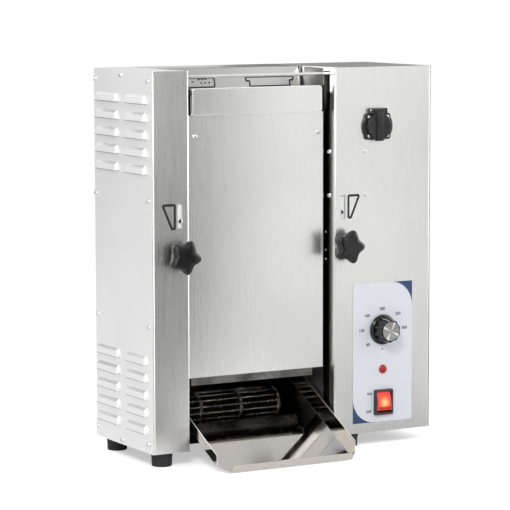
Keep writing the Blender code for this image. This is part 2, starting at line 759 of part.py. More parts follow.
def louvres(outer_x, away, skin, inside, reach):
    mesh = bmesh.new()
    for group_foot in (LOUVRE_UPPER_FOOT, LOUVRE_LOWER_FOOT):
        for row in range(LOUVRE_ROWS):
            foot = group_foot + row * LOUVRE_PITCH
            add_louvre(mesh, outer_x, away, LOUVRE_FRONT_START, LOUVRE_FRONT_LENGTH, foot, skin, inside, reach)
            add_louvre(mesh, outer_x, away, LOUVRE_REAR_START, LOUVRE_REAR_LENGTH, foot, skin, inside, reach)
    return mesh


def make_side_panel(name, outer_x, away):
    """A flat cover with two groups of louvres. Away is the way out of the toaster."""
    low, high = sorted((outer_x, outer_x - away * SHEET))
    panel = solid(name, box((low, 0, 0), (high, BODY_DEPTH, BODY_HEIGHT)), "brushed")
    join(panel, louvres(outer_x, away, 0, SHEET / 2, 0))
    cut(panel, louvres(outer_x, away, LOUVRE_SKIN, SHEET + OVERRUN, LOUVRE_SLIT))
    return panel


def make_top_cap(name, outer_x, side):
    """The top of a column, folded down along both sides between the column's walls and flanges."""
    into = 1 if outer_x == 0 else -1
    wall = SHEET + FIT
    low, high = sorted((outer_x + into * 2 * wall, wall_x(side, OPENING_HALF + wall)))
    top = BODY_HEIGHT
    path = [(high, top - CAP_FLANGE), (high, top), (low, top), (low, top - CAP_FLANGE)]
    start = SHEET + FIT
    return solid(name, prism(folded(path, SHEET), "Y", start, BODY_DEPTH - start), "brushed")


def make_rear_cover():
    low = SHEET + FIT
    high = BODY_WIDTH - low
    front = BODY_DEPTH - REAR_FLANGE
    path = [(low, front), (low, BODY_DEPTH), (high, BODY_DEPTH), (high, front)][::-1]
    cover = solid("rear_cover", prism(folded(path, SHEET), "Z", 0, BODY_HEIGHT), "brushed")
    hole = rod(GLAND_THREAD_RADIUS + FIT, "Y", (GLAND_X, 0, GLAND_HEIGHT), BODY_DEPTH - SHEET - OVERRUN,
               BODY_DEPTH + OVERRUN, ROLLER_STEPS)
    return cut(cover, hole)


def make_feet():
    right = wall_x(1, CENTRE_X - FOOT_IN)
    for name, x, y in (
        ("foot_front_left", FOOT_IN, FOOT_SETBACK),
        ("foot_front_right", right, FOOT_SETBACK),
        ("foot_rear_left", FOOT_IN, BODY_DEPTH - FOOT_SETBACK),
        ("foot_rear_right", right, BODY_DEPTH - FOOT_SETBACK),
    ):
        top = -FIT
        profile = (
            (0, top), (FOOT_RADIUS, top), (FOOT_TOE_RADIUS, -FOOT_HEIGHT + FOOT_EDGE),
            (FOOT_TOE_RADIUS - FOOT_EDGE, -FOOT_HEIGHT), (0, -FOOT_HEIGHT),
        )
        solid(name, turned(profile, "Z", (x, y, 0)), "rubber", (x, y, 0))


def make_feed_plate():
    """The middle of the top, folded down at the sides, with a sloped front that leads the buns to the belt."""
    low = wall_x(-1, OPENING_HALF - FIT)
    high = wall_x(1, OPENING_HALF - FIT)
    top = BODY_HEIGHT
    rear = BODY_DEPTH - SHEET - FIT
    path = [(high, top - FEED_FLANGE), (high, top), (low, top), (low, top - FEED_FLANGE)]
    plate = solid("feed_plate", prism(folded(path, SHEET), "Y", FEED_FOLD_SETBACK + BEND, rear), "brushed")
    slope = [(FEED_EDGE_SETBACK, FEED_EDGE_HEIGHT), (FEED_FOLD_SETBACK, top),
             (FEED_FOLD_SETBACK + FEED_FLANGE, top)]
    return join(plate, prism(folded(slope[::-1], SHEET), "X", low, high - FEED_SIDE_GAP))


def make_guard_rod():
    start = wall_x(-1, OPENING_HALF - FIT)
    end = wall_x(1, OPENING_HALF - FIT)
    centre = (0, GUARD_SETBACK, GUARD_HEIGHT)
    return solid("guard_rod", rod(GUARD_RADIUS, "X", centre, start, end, SMALL_STEPS), "polished")


def make_front_cover():
    """The plate over the platen, with flanges at its sides, a raised lip at its top and the feed guide behind."""
    half = COVER_WIDTH / 2
    low = CENTRE_X - half
    high = CENTRE_X + half
    front = COVER_SETBACK
    back = front + COVER_FLANGE
    path = [(low, back), (low, front), (high, front), (high, back)]
    cover = solid("front_cover", prism(folded(path, SHEET), "Z", COVER_FOOT, COVER_TOP), "brushed")
    lip_left = CENTRE_X - LIP_WIDTH / 2
    lip_right = CENTRE_X + LIP_WIDTH / 2
    lip_front = front - LIP_PROUD
    outline = rounded_box(lip_left, lip_right, LIP_FOOT, LIP_TOP, LIP_CORNER)
    join(cover, prism(outline, "Y", lip_front, front + SHEET / 2))
    hollow = rounded_box(lip_left + SHEET, lip_right - SHEET, LIP_FOOT + SHEET, LIP_TOP - SHEET, LIP_CORNER - SHEET)
    cut(cover, prism(hollow, "Y", lip_front + SHEET, front))
    open_back = ((lip_left + SHEET * 2, front - OVERRUN, COVER_TOP), (lip_right - SHEET * 2, back, LIP_TOP - SHEET))
    cut(cover, box(*open_back))
    edge = front + SHEET / 2
    guide = ((front, LIP_TOP), (front, LIP_TOP - SHEET), (edge, LIP_TOP - SHEET * 2),
             (edge + GUIDE_REACH, LIP_TOP - GUIDE_DROP - SHEET), (edge + GUIDE_REACH + SHEET, LIP_TOP - GUIDE_DROP))
    return join(cover, prism(guide, "X", lip_left + LIP_CORNER, lip_right - LIP_CORNER))


def make_cabinet():
    make_base_pan()
    make_column_shells()
    make_side_panel("left_side_panel", 0, -1)
    make_side_panel("right_side_panel", BODY_WIDTH, 1)
    make_top_cap("left_top_cap", 0, -1)
    make_top_cap("right_top_cap", BODY_WIDTH, 1)
    make_rear_cover()
    make_feet()
    make_feed_plate()
    make_guard_rod()
    make_front_cover()


def make_platen():
    front = PLATEN_SETBACK
    face = PLATEN_FACE
    lead = (face - PLATEN_LEAD_IN / 2, PLATEN_TOP)
    outline = ((front, PLATEN_FOOT), (face - PLATEN_EDGE, PLATEN_FOOT), (face, PLATEN_FOOT + PLATEN_EDGE),
               (face, PLATEN_TOP - PLATEN_LEAD_IN), lead, (front, PLATEN_TOP))
    platen = solid("platen", prism(outline, "X", CENTRE_X - PLATEN_WIDTH / 2, CENTRE_X + PLATEN_WIDTH / 2), "cast")
    edge = CENTRE_X + PLATEN_WIDTH / 2
    hole = rod(BULB_RADIUS + FIT, "X", (0, BULB_SETBACK, BULB_HEIGHT), edge - BULB_DEPTH - FIT, edge + OVERRUN,
               SMALL_STEPS)
    return cut(platen, hole)


def make_heating_element():
    """Upright legs joined by half-round bends, flat against the platen's front."""
    y = PLATEN_SETBACK - FIT - ELEMENT_RADIUS
    reach = ELEMENT_PITCH / 2
    first = CENTRE_X - ELEMENT_PITCH * (ELEMENT_LEGS - 1) / 2
    points = [(first, y, ELEMENT_FOOT)]
    for leg in range(ELEMENT_LEGS - 1):
        upper = leg % 2 == 0
        middle_z = ELEMENT_TOP - reach if upper else ELEMENT_FOOT + reach
        for k in range(ELEMENT_BEND_STEPS + 1):
            angle = math.pi * k / ELEMENT_BEND_STEPS
            rise = math.sin(angle) * reach
            x = first + ELEMENT_PITCH * leg + reach * (1 - math.cos(angle))
            points.append((x, y, middle_z + rise if upper else middle_z - rise))
    points.append((first + ELEMENT_PITCH * (ELEMENT_LEGS - 1), y, ELEMENT_FOOT))
    return solid("heating_element", add_swept(bmesh.new(), points, ELEMENT_RADIUS, ELEMENT_SIDES), "dark")


def make_insulation():
    start = COVER_SETBACK + SHEET + FIT
    half = INSULATION_WIDTH / 2
    shape = box((CENTRE_X - half, start, INSULATION_FOOT),
                (CENTRE_X + half, start + INSULATION_THICKNESS, INSULATION_TOP))
    return solid("platen_insulation", shape, "board")


def make_platen_bracket(name, side):
    """A foot on the column's wall, a web to the platen's side and a leg with a tab for the cover's screws."""
    wall = OPENING_HALF - FIT
    web = BRACKET_WEB_SETBACK
    tab = COVER_SETBACK + SHEET + FIT
    sheet = BRACKET_SHEET
    leg = BRACKET_LEG_OUT - FIT * 2
    outline = (
        (wall, web), (wall, web + BRACKET_WALL_REACH), (wall - sheet, web + BRACKET_WALL_REACH),
        (wall - sheet, web + sheet), (PLATEN_WIDTH / 2 + FIT, web + sheet), (PLATEN_WIDTH / 2 + FIT, web),
        (leg - sheet, web), (leg - sheet, tab + sheet), (BRACKET_TAB_OUT, tab + sheet), (BRACKET_TAB_OUT, tab),
        (leg, tab), (leg, web),
    )
    bracket = solid(name, prism(mirrored(outline, side), "Z", BRACKET_FOOT, BRACKET_TOP), "steel")
    if side > 0:
        through = span(side, wall - sheet - OVERRUN, wall + OVERRUN)
        hole = rod(CAPILLARY_HOLE, "X", (0, BULB_SETBACK, BULB_HEIGHT), *through, SMALL_STEPS)
        cut(bracket, hole)
    return bracket


def make_thermostat_probe():
    """A bulb in the platen's side and a thin tube bent round to the thermostat."""
    start = wall_x(1, PLATEN_WIDTH / 2)
    bulb = rod(BULB_RADIUS, "X", (0, BULB_SETBACK, BULB_HEIGHT), start - BULB_DEPTH, start - BULB_DEPTH + BULB_LENGTH,
               SMALL_STEPS)
    probe = solid("thermostat_probe", bulb, "brass")
    begin = Vector((start, BULB_SETBACK, BULB_HEIGHT))
    end = Vector((DIAL_X, THERMOSTAT_SETBACK + THERMOSTAT_DEPTH / 2, DIAL_HEIGHT + THERMOSTAT_HEIGHT / 2 + FIT))
    pull = Vector((end.x - begin.x, 0, 0))
    lift = Vector((0, 0, begin.z - end.z))
    points = []
    for k in range(CAPILLARY_STEPS + 1):
        t = k / CAPILLARY_STEPS
        near = begin.lerp(begin + pull, t)
        far = (end + lift).lerp(end, t)
        points.append(near.lerp(far, t))
    return join(probe, add_swept(bmesh.new(), points, CAPILLARY_RADIUS, CAPILLARY_SIDES))


def make_heated_side():
    make_platen()
    make_heating_element()
    make_insulation()
    make_platen_bracket("platen_bracket_left", -1)
    make_platen_bracket("platen_bracket_right", 1)
    make_thermostat_probe()


def make_conveyor_plate(name, side):
    """A side plate that stands off the column's wall on its two folded edges."""
    wall = OPENING_HALF - FIT
    path = [(wall, CONVEYOR_PLATE_SETBACK), (CONVEYOR_PLATE_OUT, CONVEYOR_PLATE_SETBACK),
            (CONVEYOR_PLATE_OUT, CONVEYOR_PLATE_REAR), (wall, CONVEYOR_PLATE_REAR)]
    outline = folded(path[::-1], BRACKET_SHEET)
    plate = solid(name, prism(mirrored(outline, side), "Z", CONVEYOR_PLATE_FOOT, CONVEYOR_PLATE_TOP), "steel")
    low, high = span(side, CONVEYOR_PLATE_OUT - OVERRUN, CONVEYOR_PLATE_OUT + BRACKET_SHEET + OVERRUN)
    for height in (DRIVE_HEIGHT, IDLER_HEIGHT):
        cut(plate, rod(BUSH_RADIUS + FIT, "X", (0, SHAFT_SETBACK, height), low, high, ROLLER_STEPS))
    return cut(plate, arm_slot(side, CONVEYOR_PLATE_OUT, BRACKET_SHEET))


def make_bush(name, side, height):
    """A flanged bush in the side plate, bored for the shaft."""
    inner = CONVEYOR_PLATE_OUT - FIT - BUSH_FLANGE
    face = CONVEYOR_PLATE_OUT - FIT
    outer = CONVEYOR_PLATE_OUT + BRACKET_SHEET + BUSH_FLANGE
    bore = SHAFT_RADIUS + FIT
    profile = ((bore, inner), (BUSH_FLANGE_RADIUS, inner), (BUSH_FLANGE_RADIUS, face), (BUSH_RADIUS, face),
               (BUSH_RADIUS, outer), (bore, outer))
    shape = turned([(radius, wall_x(side, out)) for radius, out in profile], "X",
                   (0, SHAFT_SETBACK, height), ROLLER_STEPS, True)
    return solid(name, shape, "brass")


def make_roller_shaft(name, height, right_end):
    """A shaft with its grooved roller, turned in one piece."""
    half = BELT_HALF_WIDTH - FIT * 2
    end = CONVEYOR_PLATE_OUT + BRACKET_SHEET + SHAFT_STUB
    profile = [(0, CENTRE_X - end), (SHAFT_RADIUS, CENTRE_X - end), (SHAFT_RADIUS, CENTRE_X - half),
               (ROLLER_RADIUS, CENTRE_X - half)]
    for lane in range(1, BELT_LANES):
        middle = CENTRE_X - half + 2 * half * lane / BELT_LANES
        profile += [
            (ROLLER_RADIUS, middle - ROLLER_BAND / 2 - ROLLER_GROOVE),
            (ROLLER_RADIUS - ROLLER_GROOVE, middle - ROLLER_BAND / 2),
            (ROLLER_RADIUS - ROLLER_GROOVE, middle + ROLLER_BAND / 2),
            (ROLLER_RADIUS, middle + ROLLER_BAND / 2 + ROLLER_GROOVE),
        ]
    profile += [(ROLLER_RADIUS, CENTRE_X + half), (SHAFT_RADIUS, CENTRE_X + half), (SHAFT_RADIUS, right_end),
                (0, right_end)]
    origin = (CENTRE_X, SHAFT_SETBACK, height)
    return solid(name, turned(profile, "X", (0, SHAFT_SETBACK, height), ROLLER_STEPS), "steel", origin)


def belt_path():
    """Where the middle of the belt's wire runs, as (y, z, the way out): up the front, round and down the rear."""
    straight = IDLER_HEIGHT - DRIVE_HEIGHT
    whole = 2 * straight + 2 * math.pi * BELT_RADIUS
    pitch = whole / BELT_CELLS
    for cell in range(BELT_CELLS):
        for shift in (0.0, BELT_WIRE):
            run = cell * pitch + shift
            if run < straight:
                yield SHAFT_SETBACK - BELT_RADIUS, DRIVE_HEIGHT + run, math.pi
            elif run < straight + math.pi * BELT_RADIUS:
                angle = math.pi - (run - straight) / BELT_RADIUS
                yield (SHAFT_SETBACK + BELT_RADIUS * math.cos(angle), IDLER_HEIGHT + BELT_RADIUS * math.sin(angle),
                       angle)
            elif run < 2 * straight + math.pi * BELT_RADIUS:
                down = run - straight - math.pi * BELT_RADIUS
                yield SHAFT_SETBACK + BELT_RADIUS, IDLER_HEIGHT - down, 0.0
            else:
                angle = -(run - 2 * straight - math.pi * BELT_RADIUS) / BELT_RADIUS
                yield (SHAFT_SETBACK + BELT_RADIUS * math.cos(angle), DRIVE_HEIGHT + BELT_RADIUS * math.sin(angle),
                       angle)


def make_wire_belt():
    """An endless ladder of cross wires, tied by wires along its edges and between its lanes."""
    mesh = bmesh.new()
    columns = []
    for lane in range(BELT_LANES + 1):
        middle = CENTRE_X - BELT_HALF_WIDTH + BELT_WIRE / 2
        middle += (2 * BELT_HALF_WIDTH - BELT_WIRE) * lane / BELT_LANES
        columns += [middle - BELT_WIRE / 2, middle + BELT_WIRE / 2]
    outer = []
    inner = []
    for y, z, angle in belt_path():
        reach = Vector((0, math.cos(angle), math.sin(angle))) * BELT_WIRE / 2
        outer.append([mesh.verts.new(Vector((x, y, z)) + reach) for x in columns])
        inner.append([mesh.verts.new(Vector((x, y, z)) - reach) for x in columns])
    rings = len(outer)
    across = len(columns) - 1
    for i in range(rings):
        j = (i + 1) % rings
        wire = i % 2 == 0
        for k in range(across):
            if wire or k % 2 == 0:
                mesh.faces.new((outer[i][k], outer[i][k + 1], outer[j][k + 1], outer[j][k]))
                mesh.faces.new((inner[i][k], inner[j][k], inner[j][k + 1], inner[i][k + 1]))
            if not wire and k % 2 == 1:
                mesh.faces.new((outer[i][k], outer[i][k + 1], inner[i][k + 1], inner[i][k]))
                mesh.faces.new((outer[j][k], inner[j][k], inner[j][k + 1], outer[j][k + 1]))
                mesh.faces.new((outer[i][k], inner[i][k], inner[j][k], outer[j][k]))
                mesh.faces.new((outer[i][k + 1], outer[j][k + 1], inner[j][k + 1], inner[i][k + 1]))
        mesh.faces.new((outer[i][0], outer[j][0], inner[j][0], inner[i][0]))
        mesh.faces.new((outer[i][across], inner[i][across], inner[j][across], outer[j][across]))
    return solid("wire_belt", mesh, "steel")


def make_conveyor():
    for name, side in (("left", -1), ("right", 1)):
        make_conveyor_plate(f"conveyor_plate_{name}", side)
        make_bush(f"drive_bush_{name}", side, DRIVE_HEIGHT)
        make_bush(f"idler_bush_{name}", side, IDLER_HEIGHT)
    make_wire_belt()
    make_roller_shaft("drive_shaft", DRIVE_HEIGHT, COUPLING_START + COUPLING_DEPTH)
    end = CONVEYOR_PLATE_OUT + BRACKET_SHEET + SHAFT_STUB
    make_roller_shaft("idler_shaft", IDLER_HEIGHT, CENTRE_X + end)


def make_star_knob(name, side, turn):
    """A domed hand knob with five lobes, bored at the back for its spindle."""
    x = wall_x(side, KNOB_OUT)
    mean = (STAR_RADIUS + STAR_VALLEY_RADIUS) / 2
    swing = (STAR_RADIUS - STAR_VALLEY_RADIUS) / 2
    count = STAR_LOBES * STAR_POINTS_PER_LOBE
    mesh = bmesh.new()
    rings = []
    for depth_share, radius_share in STAR_DOME_shares:
        ring = []
        for i in range(count):
            angle = 2 * math.pi * i / count
            radius = (mean + swing * math.cos(STAR_LOBES * angle)) * radius_share
            y = -STAR_BACK - (STAR_FRONT - STAR_BACK) * depth_share
            ring.append(mesh.verts.new((x + radius * math.cos(angle + turn), y,
                                        KNOB_HEIGHT + radius * math.sin(angle + turn))))
        rings.append(ring)
    mesh.faces.new(rings[0])
    mesh.faces.new(rings[-1][::-1])
    for first, second in zip(rings, rings[1:]):
        for i in range(count):
            j = (i + 1) % count
            mesh.faces.new((first[i], second[i], second[j], first[j]))
    knob = solid(name, mesh, "black", (x, 0, KNOB_HEIGHT))
    centre = (x, 0, KNOB_HEIGHT)
    hub_end = -STAR_BACK - OVERRUN
    join(knob, rod(STAR_HUB_RADIUS, "Y", centre, hub_end, -STAR_HUB_CLEARANCE))
    bore = rod(SPINDLE_TIP_RADIUS + FIT, "Y", centre, -STAR_BORE_DEPTH, OVERRUN, SMALL_STEPS)
    return cut(knob, bore)


def tooth_halves():
    """Half widths of a straight-sided tooth at its foot and at its top."""
    half = math.pi * TOOTH_MODULE / 4 * (1 - TOOTH_BACKLASH_share)
    slope = math.tan(PRESSURE_ANGLE)
    return half + TOOTH_MODULE * slope, half - TOOTH_MODULE * slope * (1 - TOOTH_TOP_share / 2)


def pinion_outline(centre_x):
    """Teeth round a circle, each narrowing to its top."""
    step = 2 * math.pi / PINION_TEETH
    foot, top = tooth_halves()
    root = PINION_RADIUS - TOOTH_MODULE * (1 + TOOTH_BACKLASH_share * TOOTH_ROOT_CLEARANCES)
    tip = PINION_RADIUS + TOOTH_MODULE * (1 - TOOTH_BACKLASH_share)
    outline = []
    for tooth in range(PINION_TEETH):
        middle = step * tooth
        for radius, half in ((root, -foot), (tip, -top), (tip, top), (root, foot)):
            angle = middle + half / radius
            outline.append((centre_x + radius * math.cos(angle), KNOB_HEIGHT + radius * math.sin(angle)))
    return outline


def make_spindle(name, side):
    """A turned spindle with the pinion behind the column's front."""
    x = wall_x(side, KNOB_OUT)
    centre = (x, 0, KNOB_HEIGHT)
    profile = (
        (0, -STAR_BORE_DEPTH + FIT), (SPINDLE_TIP_RADIUS, -STAR_BORE_DEPTH + FIT),
        (SPINDLE_TIP_RADIUS, -STAR_HUB_CLEARANCE + FIT * 2), (SPINDLE_RADIUS, -STAR_HUB_CLEARANCE + FIT * 2),
        (SPINDLE_RADIUS, SPINDLE_END), (0, SPINDLE_END),
    )
    spindle = solid(name, turned(profile, "Y", centre, SMALL_STEPS), "steel", centre)
    teeth = pinion_outline(x)
    return join(spindle, prism(teeth, "Y", PINION_START, PINION_START + PINION_WIDTH))


def make_pointer_rack(name, side):
    """A toothed bar that the pinion lifts, with a stem and the pointer behind the window."""
    pitch = math.pi * TOOTH_MODULE
    line = KNOB_OUT - PINION_RADIUS
    foot, top = tooth_halves()
    tip = line + TOOTH_MODULE * (1 - TOOTH_BACKLASH_share)
    root = line - TOOTH_MODULE * (1 + TOOTH_BACKLASH_share * TOOTH_ROOT_CLEARANCES)
    back = root - RACK_BAR
    first = -math.ceil((ADJUST_UP + TOOTH_MODULE) / pitch)
    teeth = []
    for tooth in range(RACK_TEETH):
        middle = KNOB_HEIGHT + pitch * (first + tooth + TOOTH_MIDDLE_share)
        teeth += [(root, middle - foot), (tip, middle - top), (tip, middle + top), (root, middle + foot)]
    low = min(z for _, z in teeth) - TOOTH_MODULE
    outline = [(back, low), (back, POINTER_HEIGHT + POINTER_HALF_RISE), (root, POINTER_HEIGHT + POINTER_HALF_RISE)]
    outline += teeth[::-1] + [(root, low)]
    x = wall_x(side, SLOT_OUT)
    rack = solid(name, prism(mirrored(outline, side), "Y", PINION_START, PINION_START + PINION_WIDTH), "steel",
                 (x, 0, POINTER_HEIGHT))
    front = SHEET + FIT
    stem_top = POINTER_HEIGHT + POINTER_HALF_RISE
    low_x, high_x = span(side, back, SLOT_OUT - SLOT_WIDTH / 2 - FIT)
    join(rack, box((low_x, front + POINTER_PLATE / 2, stem_top - POINTER_STEM_WIDTH),
                   (high_x, PINION_START + PINION_WIDTH / 2, stem_top)))
    tip_out = SLOT_OUT + POINTER_LENGTH / 2
    base_out = SLOT_OUT - SLOT_WIDTH / 2 - RACK_BAR
    arrow = ((base_out, POINTER_HEIGHT - POINTER_HALF_RISE), (tip_out, POINTER_HEIGHT), (base_out, stem_top))
    return join(rack, prism(mirrored(arrow, side), "Y", front, front + POINTER_PLATE))


def make_adjuster_bracket(name, side):
    """A bracket on the column's inner wall. Its two leaves carry the spindle and close the window from behind."""
    wall = OPENING_HALF + SHEET + FIT
    front = LEAF_SETBACK
    rear = REAR_LEAF_SETBACK + BRACKET_SHEET
    reach = wall + LEAF_INNER_REACH
    path = [(reach, rear), (wall, rear), (wall, front), (reach, front)]
    outline = folded(path, BRACKET_SHEET)
    bracket = solid(name, prism(mirrored(outline, side), "Z", ADJUSTER_BRACKET_FOOT, ADJUSTER_BRACKET_TOP), "steel")
    centre = (wall_x(side, KNOB_OUT), 0, KNOB_HEIGHT)
    cut(bracket, rod(SPINDLE_RADIUS + FIT, "Y", centre, front - OVERRUN, rear + OVERRUN, SMALL_STEPS))
    return cut(bracket, arm_slot(side, wall, BRACKET_SHEET))


def make_plate_arm(name, side):
    """A nut on the spindle, a bar through the walls and a pad behind the pressure plate."""
    spindle_x = wall_x(side, KNOB_OUT)
    half = NUT_SIDE / 2
    start = ARM_SETBACK
    origin = (spindle_x, start, KNOB_HEIGHT)
    nut = box((spindle_x - half, start, KNOB_HEIGHT - half), (spindle_x + half, start + NUT_LENGTH,
                                                              KNOB_HEIGHT + half))
    arm = solid(name, nut, "steel", origin)
    pad_out = arm_pad_out()
    low, high = span(side, pad_out, KNOB_OUT - SPINDLE_RADIUS)
    rise = ARM_HEIGHT / 2
    join(arm, box((low, start, KNOB_HEIGHT - rise + FIT), (high, start + ARM_THICKNESS, KNOB_HEIGHT + rise - FIT)))
    low, high = span(side, pad_out, pad_out + ARM_PAD_WIDTH)
    rise = ARM_PAD_HEIGHT / 2
    join(arm, box((low, start - ARM_PAD_THICKNESS, KNOB_HEIGHT - rise),
                  (high, start + ARM_PAD_THICKNESS, KNOB_HEIGHT + rise)))
    centre = (spindle_x, 0, KNOB_HEIGHT)
    return cut(arm, rod(SPINDLE_RADIUS + FIT, "Y", centre, start - OVERRUN, start + NUT_LENGTH + OVERRUN, SMALL_STEPS))


def press_plate_outs():
    """The two ends of a pressure plate, as outs."""
    inner = PRESS_PLATE_MIDDLE_GAP / 2
    return inner, inner + PRESS_PLATE_WIDTH


def arm_pad_out():
    inner, outer = press_plate_outs()
    return (inner + outer - ARM_PAD_WIDTH) / 2


def make_pressure_plate(name, side):
    """A plate that backs the belt, set back at its ends to lead the belt on, with folded side edges."""
    inner, outer = press_plate_outs()
    face = PRESS_PLATE_SETBACK
    back = face + PRESS_PLATE_LEAD_IN_SET
    foot = PRESS_PLATE_FOOT
    top = PRESS_PLATE_TOP
    lead = PRESS_PLATE_LEAD_IN
    path = [(back, foot), (face, foot + lead), (face, top - lead), (back, top)]
    low, high = span(side, inner, outer)
    plate = solid(name, prism(folded(path[::-1], SHEET), "X", low, high), "polished",
                  (wall_x(side, (inner + outer) / 2), face, KNOB_HEIGHT))
    for left, right in ((low, low + SHEET), (high - SHEET, high)):
        join(plate, box((left, face + SHEET / 2, foot + lead), (right, face + PRESS_PLATE_FLANGE, top - lead)))
    return plate


def make_adjusters():
    for name, side, turn in (("left", -1, LEFT_STAR_TURN), ("right", 1, RIGHT_STAR_TURN)):
        make_star_knob(f"{name}_star_knob", side, turn)
        make_spindle(f"{name}_spindle", side)
        make_pointer_rack(f"{name}_pointer_rack", side)
        make_adjuster_bracket(f"{name}_adjuster_bracket", side)
        make_plate_arm(f"{name}_plate_arm", side)
        make_pressure_plate(f"{name}_pressure_plate", side)


def make_overlay():
    """The printed control sheet, with holes for what stands through it."""
    outline = rounded_box(OVERLAY_LEFT, OVERLAY_RIGHT, OVERLAY_FOOT, OVERLAY_TOP, OVERLAY_CORNER)
    back = -FIT
    front = back - OVERLAY_THICKNESS
    overlay = solid("control_overlay", prism(outline, "Y", front, back), "print")
    through = (front - OVERRUN, back + OVERRUN)
    cut(overlay, rod(DIAL_HOLE, "Y", (DIAL_X, 0, DIAL_HEIGHT), *through, SMALL_STEPS))
    cut(overlay, rod(LAMP_BODY_RADIUS + FIT, "Y", (LAMP_X, 0, LAMP_HEIGHT), *through, ROLLER_STEPS))
    return cut(overlay, rocker_opening(FIT, *through))


def make_thermostat_knob():
    """A skirted knob with a fluted grip, a pocket in its face for the cap and a stub for the thermostat."""
    centre = (DIAL_X, 0, DIAL_HEIGHT)
    back = -FIT * 2 - OVERLAY_THICKNESS - DIAL_SKIRT_BACK
    profile = (
        (0, back), (DIAL_SKIRT_RADIUS, back), (DIAL_SKIRT_RADIUS, back - DIAL_SKIRT_BACK),
        (DIAL_GRIP_RADIUS, -DIAL_SKIRT_FRONT - DIAL_SKIRT_BACK), (0, -DIAL_SKIRT_FRONT - DIAL_SKIRT_BACK),
    )
    knob = solid("thermostat_knob", turned(profile, "Y", centre, ROUND_STEPS), "black", centre)
    count = DIAL_FLUTES * DIAL_POINTS_PER_FLUTE
    mesh = bmesh.new()
    rings = []
    for y, share in ((-DIAL_SKIRT_FRONT, 1.0), (-DIAL_GRIP_FRONT + DIAL_FLUTE_DEPTH, DIAL_GRIP_TAPER_share),
                     (-DIAL_GRIP_FRONT, DIAL_GRIP_TAPER_share * DIAL_GRIP_TAPER_share)):
        ring = []
        for i in range(count):
            angle = 2 * math.pi * i / count
            radius = DIAL_GRIP_RADIUS * share - DIAL_FLUTE_DEPTH * (1 - math.cos(DIAL_FLUTES * angle)) / 2
            ring.append(mesh.verts.new((DIAL_X + radius * math.cos(angle), y,
                                        DIAL_HEIGHT + radius * math.sin(angle))))
        rings.append(ring)
    mesh.faces.new(rings[0])
    mesh.faces.new(rings[-1][::-1])
    for first, second in zip(rings, rings[1:]):
        for i in range(count):
            j = (i + 1) % count
            mesh.faces.new((first[i], second[i], second[j], first[j]))
    join(knob, mesh)
    join(knob, rod(DIAL_SHAFT, "Y", centre, back - DIAL_SKIRT_BACK / 2, THERMOSTAT_SETBACK + DIAL_SHAFT_DEPTH,
                   SMALL_STEPS))
    pocket = rod(DIAL_CAP_RADIUS + FIT, "Y", centre, -DIAL_GRIP_FRONT - OVERRUN, -DIAL_GRIP_FRONT + DIAL_CAP_DEPTH)
    cut(knob, pocket)
    start = -DIAL_GRIP_FRONT + DIAL_CAP_DEPTH - FIT
    face = -DIAL_GRIP_FRONT - DIAL_CAP_PROUD
    cap = ((0, start), (DIAL_CAP_RADIUS, start), (DIAL_CAP_RADIUS, face + DIAL_CAP_PROUD),
           (DIAL_CAP_RADIUS - DIAL_CAP_PROUD, face), (0, face))
    solid("thermostat_knob_cap", turned(cap, "Y", centre), "polished", centre)


def make_thermostat_body():
    half = THERMOSTAT_WIDTH / 2
    rise = THERMOSTAT_HEIGHT / 2
    start = THERMOSTAT_SETBACK
    shape = box((DIAL_X - half, start, DIAL_HEIGHT - rise), (DIAL_X + half, start + THERMOSTAT_DEPTH,
                                                             DIAL_HEIGHT + rise))
    body = solid("thermostat_body", shape, "cream")
    bore = rod(DIAL_SHAFT + FIT, "Y", (DIAL_X, 0, DIAL_HEIGHT), start - OVERRUN, start + DIAL_SHAFT_DEPTH + FIT,
               SMALL_STEPS)
    return cut(body, bore)


def make_indicator_lamp():
    back = -FIT * 2 - OVERLAY_THICKNESS
    rim = back - LAMP_FLANGE
    dome = rim - (LAMP_PROUD - LAMP_FLANGE)
    shoulder = (rim + dome) / 2
    profile = (
        (0, LAMP_BODY_DEPTH), (LAMP_BODY_RADIUS, LAMP_BODY_DEPTH), (LAMP_BODY_RADIUS, back),
        (LAMP_FLANGE_RADIUS, back), (LAMP_FLANGE_RADIUS, rim), (LAMP_LENS_RADIUS, rim),
        (LAMP_LENS_RADIUS * math.cos(math.pi / 6), shoulder), (LAMP_LENS_RADIUS / 2, dome), (0, dome),
    )
    return solid("indicator_lamp", turned(profile, "Y", (LAMP_X, 0, LAMP_HEIGHT), ROLLER_STEPS), "red")


